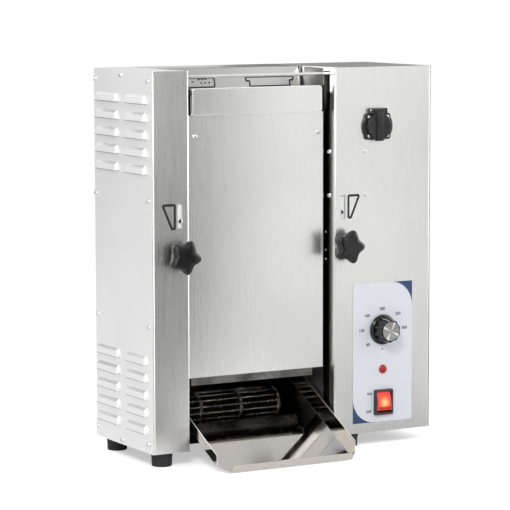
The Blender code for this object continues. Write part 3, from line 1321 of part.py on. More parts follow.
def make_rocker():
    """The frame with its well, and the rocker that tips in it about a pin across its middle."""
    back = -FIT * 2 - OVERLAY_THICKNESS
    half_width = ROCKER_BEZEL_WIDTH / 2
    half_height = ROCKER_BEZEL_HEIGHT / 2
    frame = rounded_box(ROCKER_X - half_width, ROCKER_X + half_width, ROCKER_HEIGHT - half_height,
                        ROCKER_HEIGHT + half_height, ROCKER_WELL_WALL)
    bezel = solid("rocker_bezel", prism(frame, "Y", -ROCKER_BEZEL_PROUD, back), "black")
    join(bezel, rocker_opening(0, back - RUN_FIT, ROCKER_WELL_DEPTH))
    inside_width = half_width - ROCKER_WALL
    inside_height = half_height - ROCKER_WALL
    cut(bezel, box((ROCKER_X - inside_width, -ROCKER_BEZEL_PROUD - OVERRUN, ROCKER_HEIGHT - inside_height),
                   (ROCKER_X + inside_width, ROCKER_WELL_DEPTH - ROCKER_WELL_WALL, ROCKER_HEIGHT + inside_height)))
    width = inside_width - ROCKER_SIDE_GAP
    reach = inside_height - ROCKER_END_GAP
    axis = (ROCKER_X, ROCKER_AXIS_DEPTH, ROCKER_HEIGHT)
    tilt = math.tan(ROCKER_TILT)
    profile = []
    rear_reach = reach * ROCKER_BACK_share
    for y, z in ((ROCKER_BODY_DEPTH, rear_reach), (ROCKER_AXIS_DEPTH, reach), (-ROCKER_PROUD + tilt * reach, reach),
                 (-ROCKER_PROUD, 0), (-ROCKER_PROUD + tilt * reach, -reach), (ROCKER_AXIS_DEPTH, -reach),
                 (ROCKER_BODY_DEPTH, -rear_reach)):
        offset = Matrix.Rotation(-ROCKER_TILT, 2) @ Vector((y - ROCKER_AXIS_DEPTH, z))
        profile.append((ROCKER_AXIS_DEPTH + offset.x, ROCKER_HEIGHT + offset.y))
    solid("power_rocker", prism(profile, "X", ROCKER_X - width, ROCKER_X + width), "red", axis)


def make_socket():
    """A panel socket with a flange, a cup for the plug, lugs for the lid's pin and a hinged lid."""
    centre = (SOCKET_X, 0, SOCKET_HEIGHT)
    half_width = SOCKET_FLANGE_WIDTH / 2
    half_height = SOCKET_FLANGE_HEIGHT / 2
    front = -SOCKET_FLANGE_PROUD
    flange = rounded_box(SOCKET_X - half_width, SOCKET_X + half_width, SOCKET_HEIGHT - half_height,
                         SOCKET_HEIGHT + half_height, SOCKET_FLANGE_CORNER)
    body = solid("socket_body", prism(flange, "Y", front, -FIT), "black")
    join(body, rod(SOCKET_BARREL_RADIUS, "Y", centre, front / 2, SOCKET_BARREL_DEPTH))
    hinge_z = SOCKET_HEIGHT + HINGE_RISE
    for way in (-1, 1):
        low, high = sorted((SOCKET_X + way * SOCKET_LUG_OUT, SOCKET_X + way * (SOCKET_LUG_OUT - SOCKET_LUG_WIDTH)))
        join(body, box((low, front, SOCKET_HEIGHT + half_height - SOCKET_FLANGE_CORNER),
                       (high, -FIT, hinge_z + HINGE_RADIUS)))
        join(body, box((low, -HINGE_PROUD - HINGE_RADIUS, hinge_z - HINGE_RADIUS),
                       (high, front / 2, hinge_z + HINGE_RADIUS)))
    cut(body, rod(SOCKET_CUP_RADIUS, "Y", centre, front - OVERRUN, SOCKET_CUP_DEPTH))
    for way in (-1, 1):
        hole = (SOCKET_X + way * SOCKET_PIN_SPREAD, 0, SOCKET_HEIGHT)
        cut(body, rod(SOCKET_PIN_HOLE, "Y", hole, SOCKET_CUP_DEPTH - OVERRUN, SOCKET_BARREL_DEPTH - OVERRUN,
                      SMALL_STEPS))
    pin_centre = (0, -HINGE_PROUD, hinge_z)
    reach = SOCKET_LUG_OUT + OVERRUN
    cut(body, rod(HINGE_PIN_RADIUS + FIT, "X", pin_centre, SOCKET_X - reach, SOCKET_X + reach, SMALL_STEPS))
    origin = (SOCKET_X, -HINGE_PROUD, hinge_z)
    pin = rod(HINGE_PIN_RADIUS, "X", pin_centre, SOCKET_X - SOCKET_LUG_OUT, SOCKET_X + SOCKET_LUG_OUT,
              SMALL_STEPS)
    solid("socket_hinge_pin", pin, "polished", origin)
    face = -LID_PROUD
    back = -LID_BACK
    profile = ((0, back), (LID_RADIUS, back), (LID_RADIUS, face + LID_EDGE), (LID_RADIUS - LID_EDGE, face), (0, face))
    lid = solid("socket_lid", turned(profile, "Y", centre), "black", origin)
    knuckle = SOCKET_LUG_OUT - SOCKET_LUG_WIDTH - FIT
    join(lid, rod(HINGE_RADIUS, "X", pin_centre, SOCKET_X - knuckle, SOCKET_X + knuckle, SMALL_STEPS))
    join(lid, box((SOCKET_X - knuckle + FIT, face + FIT, SOCKET_HEIGHT + LID_RADIUS - LID_EDGE * 2),
                  (SOCKET_X + knuckle - FIT, back - FIT, hinge_z)))
    band = LID_BAND_WIDTH / 2
    join(lid, box((SOCKET_X - band, face - LID_BAND_PROUD, SOCKET_HEIGHT - LID_RADIUS + LID_EDGE),
                  (SOCKET_X + band, face + LID_EDGE, SOCKET_HEIGHT + LID_RADIUS)))
    tab = LID_TAB_WIDTH / 2
    join(lid, box((SOCKET_X - tab, face + FIT, SOCKET_HEIGHT - LID_TAB_DROP),
                  (SOCKET_X + tab, face + LID_TAB_THICKNESS, SOCKET_HEIGHT - LID_RADIUS + LID_EDGE * 2)))
    bore = rod(HINGE_PIN_RADIUS + FIT, "X", pin_centre, SOCKET_X - knuckle - OVERRUN, SOCKET_X + knuckle + OVERRUN,
               SMALL_STEPS)
    cut(lid, bore)


def make_drive():
    """Gear motor on posts against the column's wall, with the coupling that turns the drive shaft."""
    half = GEARBOX_WIDTH / 2
    rise = GEARBOX_HEIGHT / 2
    y = SHAFT_SETBACK
    z = DRIVE_HEIGHT
    motor = solid("gear_motor", box((MOTOR_X, y - half, z - rise), (MOTOR_X + GEARBOX_LENGTH, y + half, z + rise)),
                  "cast")
    join(motor, rod(MOTOR_RADIUS, "X", (0, y, z), MOTOR_X + GEARBOX_LENGTH - OVERRUN,
                    MOTOR_X + GEARBOX_LENGTH + MOTOR_LENGTH))
    wall = wall_x(1, OPENING_HALF) + SHEET + FIT
    for across in (-1, 1):
        for up in (-1, 1):
            centre = (0, y + across * (half - MOTOR_POST_INSET), z + up * (rise - MOTOR_POST_INSET))
            join(motor, rod(MOTOR_POST, "X", centre, wall, MOTOR_X + OVERRUN, MOTOR_POST_SIDES))
    stub_end = MOTOR_X + COUPLING_DEPTH
    cut(motor, rod(SHAFT_RADIUS + FIT, "X", (0, y, z), MOTOR_X - OVERRUN, stub_end + FIT, SMALL_STEPS))
    end = COUPLING_START + COUPLING_LENGTH
    profile = (
        (0, COUPLING_START + COUPLING_DEPTH + FIT), (SHAFT_RADIUS + FIT, COUPLING_START + COUPLING_DEPTH + FIT),
        (SHAFT_RADIUS + FIT, COUPLING_START), (COUPLING_RADIUS, COUPLING_START), (COUPLING_RADIUS, end),
        (SHAFT_RADIUS, end), (SHAFT_RADIUS, stub_end), (0, stub_end),
    )
    solid("shaft_coupling", turned(profile, "X", (0, y, z), SMALL_STEPS), "steel", (COUPLING_START, y, z))


def make_terminal_block():
    """A row of terminals: each way is a step with a taller back."""
    low = BASE_SHEET + FIT
    front = TERMINAL_SETBACK
    length = TERMINAL_PITCH * TERMINAL_WAYS
    block = box((TERMINAL_X, front, low), (TERMINAL_X + length, front + TERMINAL_DEPTH, low + TERMINAL_STEP))
    block = solid("terminal_block", block, "cream")
    for way in range(TERMINAL_WAYS):
        start = TERMINAL_X + TERMINAL_PITCH * way + RUN_FIT
        join(block, box((start, front + TERMINAL_DEPTH / 4, low + TERMINAL_STEP / 2),
                        (start + TERMINAL_PITCH - RUN_FIT * 2, front + TERMINAL_DEPTH * 3 / 4,
                         low + TERMINAL_HEIGHT)))
    return block


def make_cable_gland():
    """The inlet for the lead: a six-sided nut, a domed clamp and the thread through the rear cover."""
    rear = BODY_DEPTH + FIT
    centre = (GLAND_X, 0, GLAND_HEIGHT)
    gland = solid("cable_gland", rod(GLAND_NUT_RADIUS, "Y", centre, rear, rear + GLAND_NUT_LENGTH, 6), "black")
    profile = (
        (0, rear + GLAND_NUT_LENGTH / 2), (GLAND_DOME_RADIUS, rear + GLAND_NUT_LENGTH / 2),
        (GLAND_DOME_RADIUS, GLAND_REAR - GLAND_NUT_LENGTH / 2),
        (GLAND_DOME_RADIUS * GLAND_MOUTH_share, GLAND_REAR),
        (0, GLAND_REAR),
    )
    join(gland, turned(profile, "Y", centre, ROLLER_STEPS))
    join(gland, rod(GLAND_THREAD_RADIUS, "Y", centre, BODY_DEPTH - GLAND_THREAD_DEPTH, rear + GLAND_NUT_LENGTH / 2,
                    ROLLER_STEPS))
    return cut(gland, rod(GLAND_BORE, "Y", centre, BODY_DEPTH - GLAND_THREAD_DEPTH - OVERRUN,
                          GLAND_REAR + OVERRUN, SMALL_STEPS))


def make_controls():
    make_overlay()
    make_thermostat_knob()
    make_thermostat_body()
    make_indicator_lamp()
    make_rocker()
    make_socket()
    make_drive()
    make_terminal_block()
    make_cable_gland()


def make_delivery_tray():
    """A sloping floor with cut front corners, upright sides and a lip. It is drawn flat and then tilted."""
    slope = math.cos(TRAY_SLOPE)
    left = TRAY_LEFT
    right = TRAY_LEFT + TRAY_WIDTH
    corner = TRAY_CORNER_CUT
    back = (TRAY_REAR + TRAY_FRONT_REACH) / slope
    side_start = corner / slope
    outline = ((left + corner, 0), (right - corner, 0), (right, side_start), (right, back), (left, back),
               (left, side_start))
    mesh = bmesh.new()
    tray = solid("delivery_tray", add_prism(mesh, outline, "Z", 0, TRAY_SHEET), "polished")
    lean = TRAY_FLANGE * math.tan(TRAY_SLOPE)
    flange = ((side_start, 0), (back, 0), (back, TRAY_FLANGE), (side_start + lean, TRAY_FLANGE))
    for low in (left, right - TRAY_SHEET):
        join(tray, prism(flange, "X", low, low + TRAY_SHEET))
    corners = ((left + corner, 0), (right - corner, 0), (right - corner, TRAY_LIP), (left + corner, TRAY_LIP))
    lip = filleted(corners, (0, 0, TRAY_LIP_CORNER, TRAY_LIP_CORNER), 4, True)
    join(tray, prism(lip, "Y", 0, TRAY_SHEET))
    for piece in [tray] + [step.object for step in tray.modifiers]:
        piece.rotation_euler.x = TRAY_SLOPE
        piece.location = place(0, -TRAY_FRONT_REACH, -TRAY_FRONT_DROP)
    return tray


def tray_floor_height(y):
    """The underside of the tray's floor at a place along its slope."""
    return -TRAY_FRONT_DROP + (y + TRAY_FRONT_REACH) * math.tan(TRAY_SLOPE)


def make_tray_rest(name, side):
    """An angle on the column's wall. Its sloping ledge carries the edge of the tray's floor."""
    wall = OPENING_HALF - FIT
    sheet = BRACKET_SHEET
    drop = FIT / math.cos(TRAY_SLOPE)
    thick = sheet / math.cos(TRAY_SLOPE)
    start = REST_START
    end = REST_END
    ledge = ((start, tray_floor_height(start) - drop), (end, tray_floor_height(end) - drop),
             (end, tray_floor_height(end) - drop - thick), (start, tray_floor_height(start) - drop - thick))
    low, high = span(side, wall - REST_REACH, wall)
    rest = solid(name, prism(ledge, "X", low, high), "steel")
    web = ((start, ledge[0][1] - thick - REST_WALL), (start, ledge[0][1] - thick / 2),
           (end, ledge[1][1] - thick / 2), (end, ledge[1][1] - thick - REST_WALL))
    low, high = span(side, wall - sheet, wall)
    return join(rest, prism(web, "X", low, high))


def make_tray_parts():
    make_delivery_tray()
    make_tray_rest("tray_rest_left", -1)
    make_tray_rest("tray_rest_right", 1)


def clear_scene():
    for old in list(bpy.data.objects):
        bpy.data.objects.remove(old)


def main():
    clear_scene()
    make_cabinet()
    make_heated_side()
    make_conveyor()
    make_adjusters()
    make_controls()
    make_tray_parts()


main()
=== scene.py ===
"""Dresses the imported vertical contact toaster: finishes, printed marks, fasteners, fine mouldings, lights and camera.

The file is laid out as an add-on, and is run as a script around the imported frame.
"""

import math
from typing import NamedTuple

import bmesh
import bpy
from mathutils import Matrix, Vector


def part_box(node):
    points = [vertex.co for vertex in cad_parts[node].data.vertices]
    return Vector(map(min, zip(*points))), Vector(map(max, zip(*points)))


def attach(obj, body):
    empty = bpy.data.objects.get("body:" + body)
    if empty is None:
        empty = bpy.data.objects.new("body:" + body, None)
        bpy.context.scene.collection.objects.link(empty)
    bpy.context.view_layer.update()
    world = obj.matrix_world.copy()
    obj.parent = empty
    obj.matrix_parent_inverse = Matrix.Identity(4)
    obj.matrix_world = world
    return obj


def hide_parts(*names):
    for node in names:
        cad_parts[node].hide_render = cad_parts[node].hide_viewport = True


bl_info = {
    "name": "Vertical Contact Toaster",
    "version": (1, 0, 0),
    "blender": (4, 5, 0),
    "location": "3D View > Sidebar > Toaster",
    "description": "Dresses a vertical contact toaster and sets its studio",
    "category": "Object",
}

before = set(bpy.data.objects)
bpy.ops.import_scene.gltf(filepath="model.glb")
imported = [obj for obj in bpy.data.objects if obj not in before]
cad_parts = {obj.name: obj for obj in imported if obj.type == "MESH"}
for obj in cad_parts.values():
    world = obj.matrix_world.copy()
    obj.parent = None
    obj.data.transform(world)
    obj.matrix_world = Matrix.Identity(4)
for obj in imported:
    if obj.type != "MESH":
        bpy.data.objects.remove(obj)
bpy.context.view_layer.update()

# The toaster's own millimetres run from its left face, from its column fronts to the back, and up from its underside.
# These are their start in the row frame, in metres.
MM = 0.001
LEFT_FACE_X = -0.258
COLUMN_FRONT_Y = -0.060967
UNDERSIDE_Z = 0.022
FULL_TURN = 2 * math.pi


def at(x, y, z):
    """A place given in the toaster's own millimetres, as metres in the row frame."""
    return Vector((LEFT_FACE_X + x * MM, COLUMN_FRONT_Y + y * MM, UNDERSIDE_Z + z * MM))


def linear(hex_colour):
    """An sRGB hex colour as the linear RGBA that shaders take."""
    channels = []
    for start in (1, 3, 5):
        value = int(hex_colour[start:start + 2], 16) / 255
        channels.append(value / 12.92 if value <= 0.04045 else ((value + 0.055) / 1.055) ** 2.4)
    return (*channels, 1.0)


def length_property(name, description, millimetres):
    """A length that a user may change, with its default given in millimetres."""
    return bpy.props.FloatProperty(
        name=name, description=description, default=millimetres * MM, min=0.0, unit="LENGTH", precision=4
    )


def angle_property(name, description, degrees):
    """An angle that a user may change, with its default given in degrees."""
    return bpy.props.FloatProperty(
        name=name, description=description, subtype="ANGLE", default=math.radians(degrees)
    )


def power_property(name, description, watts):
    """A lamp's power that a user may change."""
    return bpy.props.FloatProperty(name=name, description=description, default=watts, min=0.0, unit="POWER")


def link_into(node, links):
    """Links outputs into a node's sockets. A node given in place of an output stands for its first one."""
    for socket, source in dict(links).items():
        output = source.outputs[0] if isinstance(source, bpy.types.Node) else source
        node.id_data.links.new(output, node.inputs[socket])


def add_node(tree, kind, values=(), links=(), **options):
    """Adds a node of this kind, sets its options and socket values, and links outputs into it."""
    made = tree.nodes.new(kind)
    for option, value in options.items():
        setattr(made, option, value)
    for socket, value in dict(values).items():
        made.inputs[socket].default_value = value
    link_into(made, links)
    return made


class Pattern(NamedTuple):
    """A noise in object space, by the size of its features in millimetres, and what it drives.

    colours are the two that it moves between, gloss the two roughnesses, and relief_mm the height
    that it lets stand out of the surface.
    """

    sizes_mm: tuple
    detail: float = 3.0
    evenness: float = 0.6
    colours: tuple = ()
    gloss: tuple = ()
    relief_mm: float = 0.0


NOISE_RANGE = {"From Min": 0.3, "From Max": 0.7}
# A mix of colours has these sockets, by their place, because its other sockets have the same names.
MIX_ENDS = (6, 7)
MIX_RESULT = 2


def ends_of(colours):
    """Two sRGB hex colours as the ends of a mix."""
    return {socket: linear(colour) for socket, colour in zip(MIX_ENDS, colours)}


def finish(name, values, *patterns):
    """A material with fixed shader values, and with patterns that drive its colour, gloss and relief."""
    material = bpy.data.materials.new(name)
    material.use_nodes = True
    tree = material.node_tree
    shader = tree.nodes["Principled BSDF"]
    for socket, value in values.items():
        shader.inputs[socket].default_value = value
    place = add_node(tree, "ShaderNodeTexCoord").outputs["Object"]
    for pattern in patterns:
        scale = tuple(1 / (size * MM) for size in pattern.sizes_mm)
        scaled = add_node(tree, "ShaderNodeMapping", {"Scale": scale}, {"Vector": place})
        fineness = {"Scale": 1.0, "Detail": pattern.detail, "Roughness": pattern.evenness}
        noise = add_node(tree, "ShaderNodeTexNoise", fineness, {"Vector": scaled})
        if pattern.colours:
            share = add_node(tree, "ShaderNodeMapRange", NOISE_RANGE, {"Value": noise})
            mixed = add_node(
                tree, "ShaderNodeMix", ends_of(pattern.colours), {"Factor": share}, data_type="RGBA"
            )
            link_into(shader, {"Base Color": mixed.outputs[MIX_RESULT]})
        if pattern.gloss:
            low, high = pattern.gloss
            gloss = {**NOISE_RANGE, "To Min": low, "To Max": high}
            link_into(shader, {"Roughness": add_node(tree, "ShaderNodeMapRange", gloss, {"Value": noise})})
        if pattern.relief_mm:
            height = {"Distance": pattern.relief_mm * MM}
            link_into(shader, {"Normal": add_node(tree, "ShaderNodeBump", height, {"Height": noise})})
    return material


def brushed_stainless(name, colours, roughness, along, relief_mm=0.010):
    """Stainless sheet, belt-ground one way: soft streaks of light run across its fine lines."""
    # Real grinding lines are about 0.1 mm apart. These are drawn 0.9 mm apart, because finer ones don't show.
    grain_mm = [90.0 if axis == along else 0.9 for axis in "XYZ"]
    return finish(
        name, {"Metallic": 1.0},
        Pattern((160, 160, 160), 2.0, 0.5, colours=colours),
        Pattern(grain_mm, gloss=(roughness - 0.02, roughness + 0.03), relief_mm=relief_mm),
    )


def bright_stainless(name, colour, roughness, relief_mm):
    """Bright-annealed stainless sheet: close to a mirror, with faint rolling waves that bend its reflections."""
    return finish(
        name, {"Metallic": 1.0, "Base Color": linear(colour)},
        Pattern((60, 110, 60), 1.0, 0.4, relief_mm=relief_mm),
        Pattern((14, 45, 14), 4.0, gloss=(roughness * 0.6, roughness * 1.7)),
    )


def oiled_inner_steel(name, colours, roughness):
    """Inner steel sheet: near black, with a low, patchy gloss."""
    return finish(
        name, {"Metallic": 1.0},
        Pattern((38, 38, 60), 4.0, colours=colours, gloss=(roughness + 0.12, roughness - 0.10), relief_mm=0.02),
    )


def turned_steel(name, colour, roughness, ring_mm=0.7):
    """Drawn and turned steel: fine rings round the bar, and a slightly uneven gloss."""
    return finish(
        name, {"Metallic": 1.0, "Base Color": linear(colour)},
        Pattern((ring_mm, 9, 9), 2.0, 0.5, gloss=(roughness - 0.06, roughness + 0.12), relief_mm=0.006),
    )


def cast_metal(name, colours, roughness, grit_mm, relief_mm):
    """Cast metal: an even, grainy skin that scatters the light."""
    return finish(
        name, {"Metallic": 1.0},
        Pattern([grit_mm] * 3, colours=colours, gloss=(roughness - 0.08, roughness + 0.1), relief_mm=relief_mm),
    )


def moulded_plastic(name, colours, roughness, skin_mm, relief_mm, ior):
    """Moulded plastic: one colour right through, with the skin that its mould gave it."""
    return finish(
        name, {"IOR": ior},
        Pattern((14, 14, 14), colours=colours, gloss=(roughness * 0.75, roughness * 1.3)),
        Pattern([skin_mm] * 3, relief_mm=relief_mm),
    )


def moulded_rubber(name, colours):
    """Moulded rubber: matt, dusty black with no clear highlight."""
    return finish(name, {"IOR": 1.52}, Pattern((3, 3, 3), 4.0, colours=colours, gloss=(0.68, 0.88), relief_mm=0.06))


def mineral_board(name, colours):
    """Pressed mineral fibre board: chalky, with short fibres showing in it."""
    return finish(
        name, {"IOR": 1.5}, Pattern((0.9, 2, 6), 5.0, 0.7, colours=colours, gloss=(0.88, 1.0), relief_mm=0.12)
    )


def printed_film(name, colours, roughness):
    """Polyester film printed from behind: an even colour under a finely textured, half-gloss face."""
    gloss = (roughness - 0.04, roughness + 0.06)
    return finish(name, {"IOR": 1.57}, Pattern([0.6] * 3, 2.0, 0.5, colours=colours, gloss=gloss, relief_mm=0.004))


def screen_ink(name, colours, roughness=0.5):
    """Screen-printed ink: a thin, even layer that is a little uneven in gloss."""
    return finish(name, {"IOR": 1.5}, Pattern([0.5] * 3, colours=colours, gloss=(roughness - 0.08, roughness + 0.08)))


def baked_enamel(name, colours, roughness):
    """Baked heat-proof coating on steel: an even colour with a fine orange-peel skin."""
    gloss = (roughness - 0.06, roughness + 0.1)
    return finish(name, {"IOR": 1.5}, Pattern([1.6] * 3, 2.0, 0.5, colours=colours, gloss=gloss, relief_mm=0.03))


def spun_aluminium(name, colours, centre):
    """Spun aluminium disc: rings of fine lines, with bright opposing wedges painted into its colour as highlights."""
    material = finish(name, {"Metallic": 1.0, "Anisotropic": 0.85})
    tree = material.node_tree
    place = add_node(tree, "ShaderNodeTexCoord").outputs["Object"]
    centred = add_node(tree, "ShaderNodeVectorMath", {1: tuple(centre)}, {0: place}, operation="SUBTRACT")
    radius = add_node(tree, "ShaderNodeVectorMath", (), {0: centred}, operation="LENGTH")
    lines_apart = {"Scale": 1 / (0.35 * MM), "Detail": 1.0}
    rings = add_node(tree, "ShaderNodeTexNoise", lines_apart, {"W": radius.outputs["Value"]}, noise_dimensions="1D")
    gloss = add_node(tree, "ShaderNodeMapRange", {**NOISE_RANGE, "To Min": 0.2, "To Max": 0.4}, {"Value": rings})
    lines = add_node(tree, "ShaderNodeBump", {"Strength": 0.6, "Distance": 0.004 * MM}, {"Height": rings})
    out = add_node(tree, "ShaderNodeVectorMath", {1: (0.0, 1.0, 0.0)}, {0: centred}, operation="CROSS_PRODUCT")
    tangent = add_node(tree, "ShaderNodeVectorMath", (), {0: out}, operation="NORMALIZE")
    # Painted highlight: bright wedges drawn in the colour, because the soft studio gives the lines too little to
    # mirror.
    wedges, wedge_turn = 4.0, 1.9
    parts = add_node(tree, "ShaderNodeSeparateXYZ", (), {0: centred}).outputs
    angle = add_node(tree, "ShaderNodeMath", (), {0: parts["Z"], 1: parts["X"]}, operation="ARCTAN2")
    phase = add_node(tree, "ShaderNodeMath", {1: wedges, 2: wedge_turn}, {0: angle}, operation="MULTIPLY_ADD")
    wave = add_node(tree, "ShaderNodeMath", (), {0: phase}, operation="COSINE")
    wedge = add_node(
        tree, "ShaderNodeMapRange", {"From Min": 0.72, "From Max": 1.0}, {"Value": wave},
        interpolation_type="SMOOTHSTEP",
    )
    mixed = add_node(tree, "ShaderNodeMix", ends_of(colours), {"Factor": wedge}, data_type="RGBA")
    link_into(
        tree.nodes["Principled BSDF"],
        {"Base Color": mixed.outputs[MIX_RESULT], "Roughness": gloss, "Normal": lines, "Tangent": tangent},
    )
    return material


def lit_lens(name, colours, glow_colours, glow, centre, spread_mm):
    """Moulded clear-red lens with a lamp behind it: glowing, and brightest where the lamp stands."""
    material = finish(
        name,
        {"IOR": 1.49, "Roughness": 0.16, "Emission Strength": glow, "Coat Weight": 0.2, "Coat Roughness": 0.05},
        Pattern((2.2, 2.2, 2.2), 2.0, 0.5, colours=colours, relief_mm=0.02),
    )
    tree = material.node_tree
    place = add_node(tree, "ShaderNodeTexCoord").outputs["Object"]
    centred = add_node(tree, "ShaderNodeVectorMath", {1: tuple(centre)}, {0: place}, operation="SUBTRACT")
    flat = add_node(tree, "ShaderNodeVectorMath", {1: (1.0, 0.0, 1.0)}, {0: centred}, operation="MULTIPLY")
    away = add_node(tree, "ShaderNodeVectorMath", (), {0: flat}, operation="LENGTH").outputs["Value"]
    fade = {"From Min": 0.0, "From Max": spread_mm * MM, "To Min": 1.0, "To Max": 0.0}
    nearness = add_node(tree, "ShaderNodeMapRange", fade, {"Value": away}, interpolation_type="SMOOTHSTEP")
    mixed = add_node(tree, "ShaderNodeMix", ends_of(glow_colours), {"Factor": nearness}, data_type="RGBA")
    link_into(tree.nodes["Principled BSDF"], {"Emission Color": mixed.outputs[MIX_RESULT]})
    return material


# The middles of the controls on the column's front, as (x, z).
DIAL_MIDDLE = (422.5, 169.5)
LAMP_MIDDLE = (423.2, 103.7)
ROCKER_MIDDLE = (424.0, 49.0)
ROCKER_GLOW_MIDDLE = (424.0, 48.5)


def on_front(middle):
    """A place on the plane of the column fronts, from its (x, z)."""
    return at(middle[0], 0, middle[1])


def make_finishes():
    """Every finish of the toaster, by name."""
    made = [
        brushed_stainless("brushed_stainless_column", ("#e3e3e2", "#e9e9e8"), 0.28, "Z", 0.0012),
        brushed_stainless("brushed_stainless_cover", ("#e8e8e7", "#efefee"), 0.28, "Z", 0.0012),
        brushed_stainless("brushed_stainless_side", ("#ebebeb", "#f0f0f0"), 0.46, "Z", 0.003),
        # Painted shade: a darker copy of the stainless for the dark that the top caps mirror.
        brushed_stainless("brushed_stainless_top", ("#cbcbca", "#d6d6d5"), 0.32, "Y", 0.004),
        # Painted shade: a darker copy of the stainless for the shade in the feed opening.
        brushed_stainless("brushed_stainless_feed", ("#a4a4a3", "#b0b0af"), 0.32, "X", 0.004),
        # Painted shade: a grey copy of the stainless for the shade sheet on the inner wall and the lines at the
        # louvres.
        brushed_stainless("heat_dulled_stainless", ("#8a8986", "#a19f9b"), 0.42, "Z", 0.004),
        bright_stainless("bright_annealed_stainless", "#c6c2bd", 0.05, 0.015),
        bright_stainless("drawn_bright_rod", "#e2e2e0", 0.14, 0.05),
        # Painted shade: these near-black colours stand for the shade inside the machine.
        oiled_inner_steel("oiled_inner_steel", ("#141414", "#2b2a29"), 0.34),
        oiled_inner_steel("blued_inner_steel", ("#26282b", "#4a4b4d"), 0.36),
        turned_steel("turned_steel", "#b3b2af", 0.30),
        turned_steel("drawn_belt_wire", "#e6e4df", 0.18, 2.5),
        turned_steel("zinc_plated_screw", "#d9dadb", 0.26, 0.5),
        cast_metal("ground_cast_platen", ("#2b2a29", "#8b8985"), 0.24, 60.0, 0.05),
        cast_metal("die_cast_aluminium", ("#8b8c8e", "#a2a3a5"), 0.42, 0.6, 0.02),
        moulded_plastic("compression_moulded_phenolic", ("#111112", "#19191a"), 0.20, 0.5, 0.003, 1.45),
        moulded_plastic("satin_moulded_abs", ("#0f0f10", "#19191b"), 0.33, 0.45, 0.012, 1.45),
        moulded_plastic("grey_moulded_abs", ("#242529", "#2e2f34"), 0.36, 0.45, 0.012, 1.5),
        moulded_plastic("moulded_nylon_gland", ("#161616", "#212121"), 0.45, 0.7, 0.01, 1.53),
        moulded_plastic("cream_moulded_urea", ("#d2c8ae", "#ddd4bc"), 0.4, 0.5, 0.005, 1.6),
        moulded_rubber("moulded_rubber", ("#17171a", "#26262a")),
        mineral_board("pressed_mineral_board", ("#b9b2a2", "#d0c9b9")),
        printed_film("printed_polyester_film", ("#c3c7cd", "#c8ccd2"), 0.34),
        screen_ink("black_screen_ink", ("#08080a", "#101012"), 0.42),
        screen_ink("blue_screen_ink", ("#1c395b", "#244265"), 0.36),
        screen_ink("white_filled_line", ("#d8d8d6", "#ededeb")),
        turned_steel("turned_brass", "#c9a45c", 0.28),
        # Its lighter colour is the painted highlight of the cap's wedges.
        spun_aluminium("spun_aluminium", ("#a5a3a1", "#f4f3f1"), on_front(DIAL_MIDDLE)),
        lit_lens("glowing_red_lens", ("#7a070c", "#a01016"), ("#4c0306", "#a8141a"), 0.3, on_front(LAMP_MIDDLE), 7.5),
        lit_lens(
            "lit_red_rocker", ("#c9281c", "#dd3a2a"), ("#c8281c", "#ffd68a"), 0.9, on_front(ROCKER_GLOW_MIDDLE), 12.0
        ),
        moulded_plastic("shaded_red_rib", ("#2a0605", "#3c0a08"), 0.4, 0.5, 0.005, 1.49),
        baked_enamel("pale_pink_gasket", ("#d8b4b6", "#e2c2c4"), 0.5),
        baked_enamel("baked_black_enamel", ("#1a1a1b", "#2a2a2b"), 0.42),
        baked_enamel("baked_white_enamel", ("#cfd0cf", "#dadbda"), 0.38),
    ]
    return {material.name: material for material in made}


NODE_FINISHES = {
    "brushed_stainless_column": ("left_column_shell", "right_column_shell"),
    "brushed_stainless_cover": ("front_cover",),
    "brushed_stainless_side": ("left_side_panel", "right_side_panel", "rear_cover"),
    "brushed_stainless_top": ("left_top_cap", "right_top_cap"),
    "brushed_stainless_feed": ("feed_plate",),
    "bright_annealed_stainless": ("delivery_tray", "left_pressure_plate", "right_pressure_plate"),
    "drawn_bright_rod": ("guard_rod", "socket_hinge_pin"),
    # Inner parts, near black for the painted shade inside the machine.
    "oiled_inner_steel": (
        "conveyor_plate_left", "conveyor_plate_right", "platen_bracket_left", "platen_bracket_right",
        "tray_rest_left", "tray_rest_right", "drive_shaft", "idler_shaft", "base_pan",
    ),
    "blued_inner_steel": (
        "left_adjuster_bracket", "right_adjuster_bracket", "left_plate_arm", "right_plate_arm",
    ),
    "turned_steel": ("shaft_coupling", "left_spindle", "right_spindle"),
    "drawn_belt_wire": ("wire_belt",),
    "ground_cast_platen": ("platen",),
    "die_cast_aluminium": ("gear_motor",),
    "compression_moulded_phenolic": ("left_star_knob", "right_star_knob", "thermostat_knob"),
    "grey_moulded_abs": ("rocker_bezel",),
    "satin_moulded_abs": ("socket_body", "socket_lid"),
    "moulded_nylon_gland": ("cable_gland",),
    "cream_moulded_urea": ("thermostat_body", "terminal_block"),
    "moulded_rubber": ("foot_front_left", "foot_front_right", "foot_rear_left", "foot_rear_right"),
    "pressed_mineral_board": ("platen_insulation",),
    "printed_polyester_film": ("control_overlay",),
    "turned_brass": (
        "drive_bush_left", "drive_bush_right", "idler_bush_left", "idler_bush_right", "thermostat_probe",
    ),
    "spun_aluminium": ("thermostat_knob_cap",),
    "glowing_red_lens": ("indicator_lamp",),
    "lit_red_rocker": ("power_rocker",),
    "baked_black_enamel": ("heating_element",),
    "baked_white_enamel": ("left_pointer_rack", "right_pointer_rack"),
}
FINISHES = {}


def dress_nodes():
    """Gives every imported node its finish."""
    FINISHES.update(make_finishes())
    for finish, names in NODE_FINISHES.items():
        for name in names:
            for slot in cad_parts[name].material_slots:
                slot.material = FINISHES[finish]
    bare = set(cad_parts) - {name for names in NODE_FINISHES.values() for name in names}
    if bare:
        raise RuntimeError(f"no finish is given for {sorted(bare)}")


